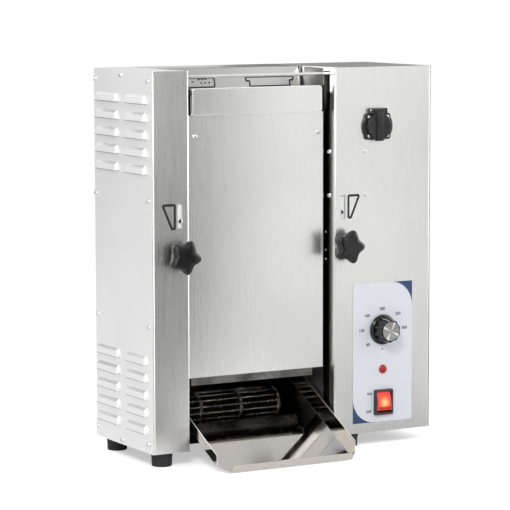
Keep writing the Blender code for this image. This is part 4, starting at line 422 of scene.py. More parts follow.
SMOOTH_UNDER = math.radians(38)
FACING_FRONT = Matrix.Rotation(math.pi / 2, 4, "X")


def circle(radius, count):
    """Points round a circle, as pairs in the radius's own unit."""
    angles = [FULL_TURN * k / count for k in range(count)]
    return [(radius * math.cos(angle), radius * math.sin(angle)) for angle in angles]


def rounded_rectangle(width, height, corner, steps=6):
    """Points round a rectangle with round corners, as pairs in millimetres."""
    points = []
    for quarter, (across, up) in enumerate(((1, 1), (-1, 1), (-1, -1), (1, -1))):
        for step in range(steps + 1):
            angle = (quarter + step / steps) * math.pi / 2
            points.append((
                across * (width / 2 - corner) + corner * math.cos(angle),
                up * (height / 2 - corner) + corner * math.sin(angle),
            ))
    return points


def facing_ring(outline, centre, y):
    """An outline stood up facing the front, about a centre, at a depth: points in the row frame."""
    return [at(centre[0] + across, y, centre[1] + up) for across, up in outline]


def loft(rings, ends="cap", mesh=None):
    """A skin through closed rings of points: capped at both ends, or with its last ring joined to its first."""
    mesh = mesh or bmesh.new()
    rows = [[mesh.verts.new(point) for point in ring] for ring in rings]
    pairs = list(zip(rows, rows[1:]))
    if ends == "join":
        pairs.append((rows[-1], rows[0]))
    for first, second in pairs:
        for k in range(len(first)):
            after = (k + 1) % len(first)
            mesh.faces.new((first[k], first[after], second[after], second[k]))
    if ends == "cap":
        mesh.faces.new(rows[0][::-1])
        mesh.faces.new(rows[-1])
    return mesh


def turned(profile, centre, steps=48, ends="cap"):
    """A body turned about a line that runs front to back; the profile gives (radius, depth) in millimetres."""
    return loft([facing_ring(circle(radius, steps), centre, y) for radius, y in profile], ends)


def block(low, high, edge=0.0, steps=3, mesh=None):
    """A block between two corners in the toaster's millimetres, with its edges rounded."""
    shape = bmesh.new()
    bmesh.ops.create_cube(shape, size=1.0)
    start, end = at(*low), at(*high)
    for vertex in shape.verts:
        for axis in range(3):
            vertex.co[axis] = start[axis] if vertex.co[axis] < 0 else end[axis]
    if edge:
        bmesh.ops.bevel(
            shape, geom=shape.edges[:], offset=edge * MM, segments=steps, profile=0.5, affect="EDGES"
        )
    return merged(mesh, shape)


def merged(mesh, shape, matrix=None):
    """Adds a shape to a mesh, moved by a matrix, and lets go of the shape unless it is moved."""
    if mesh is None:
        return shape
    data = bpy.data.meshes.new("moving")
    shape.to_mesh(data)
    if matrix is not None:
        data.transform(matrix)
    else:
        shape.free()
    mesh.from_mesh(data)
    bpy.data.meshes.remove(data)
    return mesh


def carved(body, cutter, operation="DIFFERENCE"):
    """The body with the cutter taken out of it or joined to it."""
    held = []
    for mesh in (body, cutter):
        bmesh.ops.recalc_face_normals(mesh, faces=mesh.faces[:])
        data = bpy.data.meshes.new("carving")
        mesh.to_mesh(data)
        mesh.free()
        held.append(bpy.data.objects.new("carving", data))
        bpy.context.scene.collection.objects.link(held[-1])
    modifier = held[0].modifiers.new("carve", "BOOLEAN")
    modifier.object, modifier.operation, modifier.solver = held[1], operation, "EXACT"
    done = held[0].evaluated_get(bpy.context.evaluated_depsgraph_get())
    result = bmesh.new()
    result.from_mesh(done.to_mesh())
    done.to_mesh_clear()
    for each in held:
        data = each.data
        bpy.data.objects.remove(each)
        bpy.data.meshes.remove(data)
    return result


def swept(points, radius, sides, mesh):
    """A round wire of a radius in metres along points in the row frame."""
    side = (points[1] - points[0]).normalized().orthogonal().normalized()
    rings = []
    for k, point in enumerate(points):
        along = (points[min(k + 1, len(points) - 1)] - points[max(k - 1, 0)]).normalized()
        side = (side - along * side.dot(along)).normalized()
        up = along.cross(side)
        rings.append([point + across * side + rise * up for across, rise in circle(radius, sides)])
    return loft(rings, "cap", mesh)


def piece(name, mesh, finish, body, smooth_under=SMOOTH_UNDER):
    """A finished piece that rides on a body, with its finish."""
    bmesh.ops.recalc_face_normals(mesh, faces=mesh.faces[:])
    data = bpy.data.meshes.new(name)
    mesh.to_mesh(data)
    mesh.free()
    data.polygons.foreach_set("use_smooth", [True] * len(data.polygons))
    data.set_sharp_from_angle(angle=smooth_under)
    data.materials.append(FINISHES[finish])
    made = bpy.data.objects.new(name, data)
    bpy.context.scene.collection.objects.link(made)
    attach(made, body)
    return made


def rounded_path(corners, radius, steps=5):
    """A closed path through corners given as pairs, with each corner rounded."""
    points = []
    count = len(corners)
    for k, corner in enumerate(corners):
        here = Vector(corner)
        before = (Vector(corners[k - 1]) - here).normalized()
        after = (Vector(corners[(k + 1) % count]) - here).normalized()
        half = before.angle(after) / 2
        reach = radius / math.tan(half)
        middle = here + (before + after).normalized() * radius / math.sin(half)
        start, end = here + before * reach - middle, here + after * reach - middle
        for step in range(steps + 1):
            share = step / steps
            points.append(tuple(middle + (start.lerp(end, share)).normalized() * radius))
    return points


def front_face(depth):
    """A flat face that looks to the front at a depth: it turns (x, z, lift) in millimetres into a place."""
    return lambda x, z, lift: at(x, depth - lift, z)


def ink_stroke(path, width, face, mesh, thickness=0.05):
    """A printed line of a width along a closed path of pairs, standing just proud of a face."""
    edges = ([], [])
    count = len(path)
    for k, point in enumerate(path):
        along = (Vector(path[(k + 1) % count]) - Vector(path[k - 1])).normalized()
        out = Vector((along.y, -along.x)) * width / 2
        edges[0].append(Vector(point) - out)
        edges[1].append(Vector(point) + out)
    inner, outer = [
        [[mesh.verts.new(face(p.x, p.y, lift)) for p in edge] for lift in (0.0, thickness)] for edge in edges
    ]
    for k in range(count):
        n = (k + 1) % count
        for first, second in ((inner[1], outer[1]), (outer[0], inner[0]), (inner[0], inner[1]), (outer[1], outer[0])):
            mesh.faces.new((first[k], first[n], second[n], second[k]))
    return mesh


def ink_patch(outline, face, mesh, thickness=0.05):
    """A printed patch inside an outline of pairs, standing just proud of a face."""
    return loft([[face(x, z, lift) for x, z in outline] for lift in (0.0, thickness)], "cap", mesh)


def lettering(text, place, depth, size, mesh, thickness=0.05, bold=0.18):
    """Figures or letters centred on a place, standing just proud of a face that looks to the front."""
    curve = bpy.data.curves.new("lettering", "FONT")
    curve.body, curve.size, curve.extrude = text, size * MM, thickness * MM / 2
    curve.align_x, curve.align_y = "CENTER", "CENTER"
    curve.offset = bold * MM
    curve.resolution_u = 3
    held = bpy.data.objects.new("lettering", curve)
    bpy.context.scene.collection.objects.link(held)
    done = held.evaluated_get(bpy.context.evaluated_depsgraph_get())
    data = bpy.data.meshes.new_from_object(done)
    data.transform(Matrix.Translation(at(place[0], depth - thickness / 2, place[1])) @ FACING_FRONT)
    mesh.from_mesh(data)
    bpy.data.meshes.remove(data)
    bpy.data.objects.remove(held)
    bpy.data.curves.remove(curve)
    return mesh


# Places of fasteners: (y, z) on the side panels and inner walls, (x, z) on what looks to the front or the rear.
SIDE_SCREWS = (
    (199, 583), (106, 591.5), (13, 584.5), (198, 398.5), (13, 398.3),
    (195, 201.6), (13, 200.7), (199, 16.2), (109, 6.6), (16.8, 14.2),
)
SIDE_RIVETS = ((15.5, 444.4), (13.2, 371.8))
COVER_SCREWS = ((86.4, 495.9), (311.6, 496.0))
COLUMN_SCREWS = ((389.1, 463.7), (389.2, 393.0))
INNER_WALL_BOLTS = ((16.8, 463.9), (16.8, 392.9))
INNER_WALL_RIVETS = ((26.7, 332.7), (26.7, 303.3), (26.7, 288.5))
SOCKET_SCREWS = ((393.2, 519.0), (428.8, 519.0), (393.2, 488.0), (428.8, 488.0))
REAR_SCREWS = (
    (14, 570), (260, 590), (502, 570), (14, 300), (502, 300), (14, 32), (260, 20), (502, 32),
)
BODY_WIDTH = 516.0
# Each side's name, its panel's x, and the way out of it.
SIDES = (("left", 0.0, -1), ("right", BODY_WIDTH, 1))
# A small screw's height and cross, and a rivet's height, as shares of a sheet screw's.
SMALL_HEIGHT, SMALL_CROSS, RIVET_HEIGHT = 0.6, 0.8, 0.45
COVER_FACE_DEPTH = 20.0
REAR_FACE_DEPTH = 202.0
RIGHT_INNER_WALL_X = 331.0
# Thin dark sheets on the right inner wall, painted shade where the wall mirrors the dark inside: name, middle as (y,
# z), size along both, finish and slot.
INNER_WALL_SHADE_SHEETS = (
    ("blackened_inner_strip", (24.8, 303.0), (19.0, 582.0), "oiled_inner_steel", "dark_steel"),
    ("heat_dulled_guide_liner", (66.0, 573.5), (61.0, 50.0), "heat_dulled_stainless", "plain_steel"),
)
# How far a shade sheet's rings stand off the wall, and how much smaller each is.
SHADE_SHEET_RINGS = ((0.02, 0.0), (0.25, 0.0), (0.4, 0.4))
LOUVRE_DEPTH = 6.0
LOUVRE_PITCH = 27.4
LOUVRE_FEET = [foot + LOUVRE_PITCH * row for foot in (440.0, 31.0) for row in range(5)]
LOUVRE_RUNS = ((18.0, 70.0), (116.0, 77.0))
# A painted-shade line along a louvre's mouth, as rings of (height over its foot, how much smaller).
LOUVRE_SHADE_LINE_RINGS = ((0.1, 0.0), (-0.8, 0.0), (-0.95, 0.2))
LIP_MIDDLE = (198.0, 550.25)
LIP_WIDTH, LIP_HEIGHT = 236.0, 42.5
# The lip's bend, as rings of (how much larger than the lip, corner, depth).
LIP_BEND = ((0.4, 5.2, 15.6), (0.4, 5.2, 15.0), (-0.4, 4.8, 14.55), (-2.2, 3.9, 14.45), (-2.2, 3.9, 14.98))
LIP_NOTCHES = (76.4, 319.6)
LIP_NOTCH_HALF = 3.2
LIP_NOTCH_DEPTHS, LIP_NOTCH_ENDS = (19.8, 19.98), (529.4, 570.6)
TRAY_EDGE_PLACES = (72.5, 324.5)
TRAY_EDGE_LINE = ((-75.2, -11.0), (-75.2, 5.2), (128.0, 107.4))
TRAY_EDGE_RADIUS = 0.6


class ToasterFasteners(bpy.types.PropertyGroup):
    """Sizes of the screws and rivets that hold the sheets."""

    head_diameter: length_property("Head diameter", "Across a sheet screw's head", 8.2)
    head_height: length_property("Head height", "How far a sheet screw's head stands out", 2.3)
    small_head_diameter: length_property("Small head diameter", "Across a small screw's head", 6.0)
    rivet_diameter: length_property("Rivet diameter", "Across a rivet's head", 4.6)
    slot_width: length_property("Cross width", "Width of the cross in a screw's head", 1.1)


def domed(diameter, height, profile, steps):
    """A head on the origin that faces up, from a profile of shares of its radius and height."""
    radius = diameter / 2
    return loft([
        [Vector((radius * share * x, radius * share * y, height * rise)) for x, y in circle(1.0, steps)]
        for share, rise in profile
    ])


def screw_head(diameter, height, slot_width):
    """A pan head with a cross recess."""
    head = domed(
        diameter, height, ((1.0, 0.0), (1.0, 0.35), (0.93, 0.62), (0.76, 0.85), (0.5, 0.96), (0.2, 1.0)), 24
    )
    reach, deep, half = diameter / 2 * 0.62, height * 0.5, slot_width / 2
    plus = (
        (reach, -half), (reach, half), (half, half), (half, reach), (-half, reach), (-half, half),
        (-reach, half), (-reach, -half), (-half, -half), (-half, -reach), (half, -reach), (half, -half),
    )
    cutter = loft([
        [Vector((x * taper, y * taper, z)) for x, y in plus] for taper, z in ((0.7, deep), (1.0, height * 1.1))
    ])
    return carved(head, cutter)


def rivet_head(diameter, height):
    """A low domed head with a small dimple."""
    profile = ((1.0, 0.0), (0.96, 0.35), (0.8, 0.75), (0.55, 0.97), (0.32, 1.0), (0.25, 0.7), (0.06, 0.66))
    return domed(diameter, height, profile, 20)


def spread(head, places, direction, mesh=None):
    """Copies of a head at places in the row frame, each turned a little differently about its own axis."""
    mesh = mesh or bmesh.new()
    facing = Vector(direction).to_track_quat("Z", "Y").to_matrix().to_4x4()
    for k, place in enumerate(places):
        merged(mesh, head, Matrix.Translation(place) @ facing @ Matrix.Rotation(0.7 * k + 0.3, 4, "Z"))
    return mesh


class TOASTER_OT_fasteners(bpy.types.Operator):
    """Puts in the screws and rivets that hold the sheets together"""

    bl_idname = "toaster.fasteners"
    bl_label = "Screws and rivets"

    def execute(self, context):
        sizes = context.scene.toaster_fasteners
        head = screw_head(sizes.head_diameter, sizes.head_height, sizes.slot_width)
        small = screw_head(sizes.small_head_diameter, sizes.head_height * SMALL_HEIGHT, sizes.slot_width * SMALL_CROSS)
        rivet = rivet_head(sizes.rivet_diameter, sizes.head_height * RIVET_HEIGHT)
        made = {}
        for side, x, out in SIDES:
            panel = spread(head, [at(x, y, z) for y, z in SIDE_SCREWS], (out, 0, 0))
            panel = spread(rivet, [at(x, y, z) for y, z in SIDE_RIVETS], (out, 0, 0), panel)
            made[f"{side}_side_panel_screws"] = panel
        made["front_cover_screws"] = spread(head, [at(x, COVER_FACE_DEPTH, z) for x, z in COVER_SCREWS], (0, -1, 0))
        made["right_column_screws"] = spread(small, [at(x, 0, z) for x, z in COLUMN_SCREWS], (0, -1, 0))
        wall = spread(head, [at(RIGHT_INNER_WALL_X, y, z) for y, z in INNER_WALL_BOLTS], (-1, 0, 0))
        made["inner_wall_bolts"] = spread(
            rivet, [at(RIGHT_INNER_WALL_X, y, z) for y, z in INNER_WALL_RIVETS], (-1, 0, 0), wall
        )
        made["rear_cover_screws"] = spread(head, [at(x, REAR_FACE_DEPTH, z) for x, z in REAR_SCREWS], (0, 1, 0))
        for name, mesh in made.items():
            piece(name, mesh, "zinc_plated_screw", "cabinet")
        for each in (head, small, rivet):
            each.free()
        return {"FINISHED"}


class TOASTER_OT_sheet_trim(bpy.types.Operator):
    """Makes painted shade and highlights on the sheets: dark sheets on the right inner wall, dark lines at the louvres'
    mouths and the lip's notches, and light lines along the lip's bend and the tray's edges
    """

    bl_idname = "toaster.sheet_trim"
    bl_label = "Edges and liners"

    def execute(self, context):
        # Painted shade: thin dark sheets laid where the right inner wall shows dark.
        for name, (y, z), (width, height), dress, slot in INNER_WALL_SHADE_SHEETS:
            shade_sheet = loft([
                [at(RIGHT_INNER_WALL_X - off, y + across, z + up)
                 for across, up in rounded_rectangle(width - less, height - less, 2.0)]
                for off, less in SHADE_SHEET_RINGS
            ])
            piece(name, shade_sheet, dress, "cabinet")
        for side, x, out in SIDES:
            # Painted shade: a dark grey strip along each louvre's mouth stands for the shade line under it.
            edges = bmesh.new()
            for foot in LOUVRE_FEET:
                for start, length in LOUVRE_RUNS:
                    loft([
                        [at(x + out * (LOUVRE_DEPTH - 0.5 + across), start + length / 2 + along, foot + rise)
                         for along, across in rounded_rectangle(length - 7.0 - less, 0.9 - less, 0.4)]
                        for rise, less in LOUVRE_SHADE_LINE_RINGS
                    ], "cap", edges)
            piece(f"{side}_louvre_sheared_edges", edges, "heat_dulled_stainless", "cabinet")
        # A rounded bend round the cover's lip, partly real shape and partly painted highlight: it takes the lighter,
        # rougher side finish instead of the cover's.
        bend = loft([
            facing_ring(rounded_rectangle(LIP_WIDTH + more, LIP_HEIGHT + more, corner), LIP_MIDDLE, y)
            for more, corner, y in LIP_BEND
        ], "join")
        piece("cover_lip_bend", bend, "brushed_stainless_side", "cabinet")
        # Painted shade: dark strips on the cover stand for the shade seen through the notches beside the lip.
        notch_shade = bmesh.new()
        for x in LIP_NOTCHES:
            low, high = [
                (x + side * LIP_NOTCH_HALF, y, z) for side, y, z in zip((-1, 1), LIP_NOTCH_DEPTHS, LIP_NOTCH_ENDS)
            ]
            block(low, high, 0.05, 1, notch_shade)
        piece("cover_lip_notches", notch_shade, "oiled_inner_steel", "cabinet")
        # Painted highlight: thin round wires along the tray's flange tops, in the side finish that is lighter than the
        # tray's own.
        edges = bmesh.new()
        for x in TRAY_EDGE_PLACES:
            swept([at(x, y, z) for y, z in TRAY_EDGE_LINE], TRAY_EDGE_RADIUS * MM, 8, edges)
        piece("tray_sheared_edges", edges, "brushed_stainless_side", "landing_tray")
        return {"FINISHED"}


# Outlines on the column fronts and the feed plate, as (x, z).
LEFT_WEDGE = ((18.7, 391.8), (39.9, 391.8), (39.9, 354.6), (34.8, 354.6))
RIGHT_WEDGE = ((357.3, 392.6), (377.6, 392.6), (362.0, 356.8), (357.3, 356.8))
WEDGE_CORNER, CROWN_CORNER, HEEL_CORNER = 1.6, 3.4, 1.3
CROWN_OUTLINE = ((88.0, 568.6), (167.4, 568.6), (167.4, 583.8), (88.0, 583.8))
CROWN_SEEDS = (
    (97.9, 575.8), (105.1, 575.8), (112.3, 575.8), (104.1, 581.2), (110.1, 581.2), (116.1, 581.2),
    (127.7, 577.6), (139.3, 581.2), (145.3, 581.2), (151.3, 581.2), (143.1, 575.8), (150.3, 575.8), (157.5, 575.8),
)
SEED = rounded_rectangle(4.2, 2.2, 1.0, 3)
HEEL_OUTLINE = (
    (232.0, 568.2), (307.0, 568.2), (307.0, 577.2), (313.8, 577.2), (313.8, 583.4), (225.6, 583.4), (225.6, 577.2),
    (232.0, 577.2),
)
# The feed plate's slope, as (depth, z) at its foot and its top.
FEED_EDGE, FEED_TOP = (98.5, 557.0), (110.0, 600.0)
DIAL_NUMBERS = (
    ("60", 395.3, 145.8), ("120", 382.6, 169.6), ("160", 393.2, 193.7), ("200", 422.3, 203.4),
    ("250", 452.8, 193.7), ("300", 465.4, 169.5),
)
DIAL_ARROW = ((420.8, 135.8), (424.2, 135.8), (422.5, 139.4))
SWITCH_WORDS = (("ON", 398.0, 63.7), ("OFF", 396.8, 34.0))
OVERLAY_LEFT, OVERLAY_RIGHT, OVERLAY_FOOT, OVERLAY_TOP = 366.4, 480.3, 16.4, 247.0
OVERLAY_FACE = -0.83
CORNER_INK_THICKNESS = 0.04


class ToasterPrint(bpy.types.PropertyGroup):
    """Sizes of the printed marks."""

    wedge_line: length_property("Wedge line", "Width of the wedge's outline", 3.8)
    bun_line: length_property("Bun line", "Width of the bun outlines on the feed plate", 2.9)
    number_height: length_property("Number height", "Height of the dial's numbers", 7.0)
    word_height: length_property("Word height", "Height of the switch's words", 6.0)
    corner_sweep: length_property("Corner sweep", "Radius of the blue corners' curve", 41.0)


def blue_corner(corner, towards, radius, mesh, steps=24):
    """A corner filled with ink outside a curve that sweeps from one edge to the other."""
    rim = []
    for k in range(steps + 1):
        angle = math.pi / 2 * k / steps
        across, up = radius * (1 - math.cos(angle)), radius * (1 - math.sin(angle))
        rim.append((corner[0] + towards[0] * across, corner[1] + towards[1] * up))
    back, front = [
        [mesh.verts.new(at(x, depth, z)) for x, z in (*rim, corner)]
        for depth in (OVERLAY_FACE, OVERLAY_FACE - CORNER_INK_THICKNESS)
    ]
    for k in range(steps):
        mesh.faces.new((front[k], front[k + 1], front[-1]))
        mesh.faces.new((back[k + 1], back[k], back[-1]))
    for k in range(-1, steps + 1):
        mesh.faces.new((back[k], back[k + 1], front[k + 1], front[k]))
    return mesh


def feed_face(x, z, lift):
    """The feed plate's sloping face: it turns (x, z, lift) in millimetres into a place."""
    slope = (FEED_TOP[0] - FEED_EDGE[0]) / (FEED_TOP[1] - FEED_EDGE[1])
    tilt = math.atan(slope)
    depth = FEED_EDGE[0] + (z - FEED_EDGE[1]) * slope
    return at(x, depth - lift * math.cos(tilt), z + lift * math.sin(tilt))


class TOASTER_OT_print(bpy.types.Operator):
    """Prints the wedges, the bun outlines and the control sheet's marks"""

    bl_idname = "toaster.printed_marks"
    bl_label = "Printed marks"

    def execute(self, context):
        sizes = context.scene.toaster_print
        for name, corners in (("left_thickness_wedge", LEFT_WEDGE), ("right_thickness_wedge", RIGHT_WEDGE)):
            path = rounded_path(corners, WEDGE_CORNER)
            wedge = ink_stroke(path, sizes.wedge_line / MM, front_face(-0.02), bmesh.new())
            piece(name, wedge, "black_screen_ink", "cabinet")
        buns = bmesh.new()
        for outline, corner in ((CROWN_OUTLINE, CROWN_CORNER), (HEEL_OUTLINE, HEEL_CORNER)):
            ink_stroke(rounded_path(outline, corner), sizes.bun_line / MM, feed_face, buns)
        for x, z in CROWN_SEEDS:
            ink_patch([(x + across, z + up) for across, up in SEED], feed_face, buns)
        piece("bun_outlines", buns, "black_screen_ink", "cabinet")
        corners = bmesh.new()
        blue_corner((OVERLAY_RIGHT, OVERLAY_TOP), (-1, -1), sizes.corner_sweep / MM, corners)
        blue_corner((OVERLAY_LEFT, OVERLAY_FOOT), (1, 1), sizes.corner_sweep / MM, corners)
        piece("overlay_blue_corners", corners, "blue_screen_ink", "cabinet")
        marks = bmesh.new()
        for words, height in ((DIAL_NUMBERS, sizes.number_height), (SWITCH_WORDS, sizes.word_height)):
            for text, x, z in words:
                lettering(text, (x, z), OVERLAY_FACE, height / MM, marks)
        ink_patch(DIAL_ARROW, front_face(OVERLAY_FACE), marks)
        piece("dial_and_switch_marks", marks, "black_screen_ink", "cabinet")
        return {"FINISHED"}


# Each star knob's side, the x of its middle, and its turn at rest.
STAR_PLACES = (("left", 48.0, math.radians(-8)), ("right", 348.0, 0.0))
STAR_HEIGHT = 311.0
STAR_STEM_RADIUS = 25.0
STAR_LOBES = 5
STAR_SECOND_WAVE = 0.09
# Rings of a star knob, as (depth, how lobed, share of the radius).
STAR_SECTIONS = (
    (-1.8, 0.0, 0.36), (-2.2, 0.0, 0.405), (-7.0, 0.0, 0.43), (-8.2, 0.1, 0.60), (-9.0, 0.5, 0.80), (-10.2, 0.9, 0.90),
    (-12.5, 1.0, 0.95), (-16.0, 1.0, 0.985), (-19.5, 1.0, 1.0), (-21.8, 1.0, 0.985), (-23.6, 1.0, 0.945),
    (-25.0, 1.0, 0.885), (-26.0, 1.0, 0.80), (-26.6, 1.0, 0.69), (-26.9, 1.0, 0.5), (-27.0, 1.0, 0.05),
)
# Profiles of turned pieces, as (radius, depth).
WASHER_PROFILE = ((9.0, -0.4), (13.6, -0.4), (14.0, -0.8), (14.0, -1.4), (13.4, -1.9), (9.0, -1.9))
SKIRT_PROFILE = (
    (3.4, -2.3), (23.4, -2.3), (24.0, -2.8), (24.0, -3.6), (23.5, -4.2), (22.6, -4.6), (21.4, -5.2), (20.4, -6.4),
)
SKIRT_PROFILE_RADIUS = 24.0
CAP_PROFILE = (
    (15.3, -27.2), (15.6, -28.0), (15.5, -28.5), (15.1, -28.6), (14.5, -28.35), (14.1, -28.3), (0.4, -28.5),
)
# Rings of the thermostat knob's grip, as (depth, how fluted, radius).
GRIP_SECTIONS = (
    (-4.6, 0.25, 20.9), (-6.2, 0.9, 20.5), (-9.0, 1.0, 20.4), (-16.0, 1.0, 20.0), (-23.5, 1.0, 19.5),
    (-26.6, 0.9, 19.1), (-27.6, 0.6, 18.4), (-28.0, 0.2, 17.4),
)
FLUTES = 10
FLUTE_SHARPNESS = 1.7
GRIP_STEPS = 160
# Stretches of the thermostat knob's pointer line, as (inner radius, outer radius, depth at both).
POINTER_STRETCHES = ((20.3, 23.7, -5.6, -3.9), (16.6, 18.4, -28.12, -26.4), (18.2, 19.3, -27.2, -6.9))
POINTER_ANGLE = math.radians(104)
POINTER_HALF_WIDTH = 0.45
POINTER_LIFT = 0.25


class ToasterKnobs(bpy.types.PropertyGroup):
    """Sizes of the three knobs."""

    star_radius: length_property("Star radius", "From a thickness knob's middle to the tip of a lobe", 28.0)
    star_valley: length_property("Star valley", "From a thickness knob's middle to between two lobes", 20.6)
    dial_skirt_radius: length_property("Dial skirt", "Radius of the thermostat knob's skirt", 24.8)
    dial_flute_depth: length_property("Flute depth", "Depth of the grooves in the thermostat knob's grip", 2.6)


def wavy_ring(middle, y, radius_at, turn=0.0, count=150):
    """A ring about a middle at a depth, whose radius follows the angle."""
    angles = [FULL_TURN * k / count for k in range(count)]
    return facing_ring(
        [(radius_at(angle) * math.cos(angle + turn), radius_at(angle) * math.sin(angle + turn)) for angle in angles],
        middle, y,
    )


def star_section(x, y, lobes, share, sizes, turn):
    """One ring of the star knob: round where lobes is 0 and fully lobed where it is 1."""
    mean = (sizes.star_radius + sizes.star_valley) / 2 / MM
    swing = (sizes.star_radius - sizes.star_valley) / 2 / MM

    def radius_at(angle):
        wave = math.cos(STAR_LOBES * angle) + STAR_SECOND_WAVE * (math.cos(2 * STAR_LOBES * angle) - 1)
        return share * ((mean + swing * wave) * lobes + STAR_STEM_RADIUS * (1 - lobes))

    return wavy_ring((x, STAR_HEIGHT), y, radius_at, turn)


def grip_section(y, fluted, radius, depth):
    """One ring of the thermostat knob's grip."""
    def radius_at(angle):
        return radius - depth * fluted * abs(math.cos(FLUTES / 2 * angle)) ** FLUTE_SHARPNESS

    return wavy_ring(DIAL_MIDDLE, y, radius_at, count=GRIP_STEPS)


def pointer_line(mesh):
    """The pale line over the thermostat knob's skirt and grip, in three stretches."""
    out = Vector((math.cos(POINTER_ANGLE), math.sin(POINTER_ANGLE)))
    across = Vector((-out.y, out.x)) * POINTER_HALF_WIDTH
    for low, high, low_depth, high_depth in POINTER_STRETCHES:
        near, far = out * low, out * high
        corners = (
            (near - across, low_depth), (near + across, low_depth),
            (far + across, high_depth), (far - across, high_depth),
        )
        loft([
            [at(DIAL_MIDDLE[0] + p.x + out.x * lift, y - lift, DIAL_MIDDLE[1] + p.y + out.y * lift) for p, y in corners]
            for lift in (0.0, POINTER_LIFT)
        ], "cap", mesh)
    return mesh


class TOASTER_OT_knobs(bpy.types.Operator):
    """Makes the two star knobs, the thermostat knob with its pointer line, and its spun cap"""

    bl_idname = "toaster.knobs"
    bl_label = "Knobs"

    def execute(self, context):
        sizes = context.scene.toaster_knobs
        for side, x, turn in STAR_PLACES:
            body = f"{side}_thickness_knob"
            rings = [star_section(x, y, lobes, share, sizes, turn) for y, lobes, share in STAR_SECTIONS]
            star = piece(f"{side}_star_grip", loft(rings), "compression_moulded_phenolic", body)
            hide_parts(f"{side}_star_knob")
            washer = turned(WASHER_PROFILE, (x, STAR_HEIGHT), 64, "join")
            piece(f"{side}_star_washer", washer, "drawn_bright_rod", body)
        grow = sizes.dial_skirt_radius / (SKIRT_PROFILE_RADIUS * MM)
        knob = turned([(radius * grow, y) for radius, y in SKIRT_PROFILE], DIAL_MIDDLE, 96)
        flute_depth = sizes.dial_flute_depth / MM
        loft([grip_section(y, fluted, radius, flute_depth) for y, fluted, radius in GRIP_SECTIONS], "cap", knob)
        grip = piece("thermostat_grip", knob, "compression_moulded_phenolic", "thermostat_dial")
        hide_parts("thermostat_knob")
        cap = turned(CAP_PROFILE, DIAL_MIDDLE, 96)
        made = piece("thermostat_spun_cap", cap, "spun_aluminium", "thermostat_dial")
        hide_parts("thermostat_knob_cap")
        line = pointer_line(bmesh.new())
        piece("thermostat_pointer_line", line, "white_filled_line", "thermostat_dial")
        return {"FINISHED"}


SOCKET_MIDDLE = (411.0, 503.5)
ROCKER_AXIS_DEPTH = 4.0
# The switch's frame, as rings of (how much smaller, corner, depth), from its flange round into its well.
FRAME_RINGS = (
    (0.0, 2.2, -0.85), (0.0, 2.2, -5.0), (0.5, 2.1, -6.0), (1.8, 1.6, -6.5), (6.4, 0.9, -6.5), (7.6, 0.7, -5.9),
    (8.4, 0.5, -4.4), (8.4, 0.5, 20.0), (6.0, 0.8, 20.6), (5.0, 0.9, 20.0), (5.0, 0.9, -0.85),
)
WELL_LESS = 8.4
WELL_FLOOR = ((409.6, 20.9, 31.0), (438.4, 22.4, 67.0))
ROCKER_SIDE_GAP, ROCKER_END_GAP, ROCKER_EDGE = 0.5, 1.6, 0.35
# A grip rib from its side, as (depth from the axis, share of the rocker's reach).
RIB_PROFILE = ((-9.0, -0.97), (-10.6, -0.93), (-11.4, -0.70), (-9.8, -0.60))
RIB_COUNT, RIB_INSET, RIB_HALF_WIDTH = 5, 3.6, 0.95
# Profiles of turned pieces, as (radius, depth).
LENS_PROFILE = (
    (4.6, 24.0), (4.6, -0.9), (7.1, -0.9), (7.1, -2.3), (6.9, -3.3), (6.3, -4.4), (5.3, -5.2), (3.9, -5.8), (2.0, -6.1),
    (0.3, -6.2),
)
FLANGE_WIDTH, FLANGE_HEIGHT, FLANGE_CORNER, FLANGE_BULGE = 48.0, 43.0, 5.0, 28.0
# The socket's flange, as rings of (depth, how much smaller).
FLANGE_RINGS = ((-0.3, 0.0), (-3.6, 0.0), (-4.3, 0.8), (-4.5, 2.2))
CUP_OUTSIDE = ((20.5, 24.0), (20.5, -2.0))
CUP_INSIDE = ((18.5, 16.0), (18.5, -6.0))
PIN_HOLE = ((2.6, 22.5), (2.6, 14.0))
PIN_HOLE_OFFSET = 9.5
LUG_REACH = (10.9, 14.6)
FLANGE_SCREW_MM = (5.4, 1.3, 0.9)
# Blocks on the lid: half width, depths, foot and top as (which side of the lid, how far over it), edge and steps.
LID_BLOCKS = (
    (6.5, (-11.5, -8.5), ((-1, 1.0), (1, 1.5)), 0.7, 3),
    (8.0, (-9.7, -7.0), ((-1, -1.2), (-1, 3.4)), 0.9, 3),
    (10.4, (-10.6, -5.3), ((1, -3.0), (1, 6.9)), 1.6, 4),
)


class ToasterControls(bpy.types.PropertyGroup):
    """Sizes of the switch, the lamp and the socket."""

    bezel_width: length_property("Switch width", "Width of the switch's frame", 35.0)
    bezel_height: length_property("Switch height", "Height of the switch's frame", 42.0)
    rocker_tilt: angle_property("Rocker tilt", "Lean of the rocker when it is on", 12)
    lamp_ring: length_property("Lamp ring", "Radius of the lamp's ring", 8.4)
    lid_radius: length_property("Lid radius", "Radius of the socket's lid", 22.5)


def rocker_profile(reach, steps=14):
    """The rocker from its side, as (depth from the axis, height): two pads that meet in a shallow hollow."""
    face = []
    for k in range(steps + 1):
        share = 1 - 2 * k / steps
        face.append((-11.3 + 1.9 * abs(share) ** 1.25, reach * share))
    return [(8.0, reach * 0.55), (0.5, reach - 0.1), *face, (0.5, -reach + 0.1), (8.0, -reach * 0.55)]


def tipped(x, outline, tilt):
    """An outline of (depth from the axis, height) at a place across the rocker, tipped about its axis."""
    ring = []
    for depth, rise in outline:
        place = tilt @ Vector((depth, rise))
        ring.append(at(ROCKER_MIDDLE[0] + x, ROCKER_AXIS_DEPTH + place.x, ROCKER_MIDDLE[1] + place.y))
    return ring


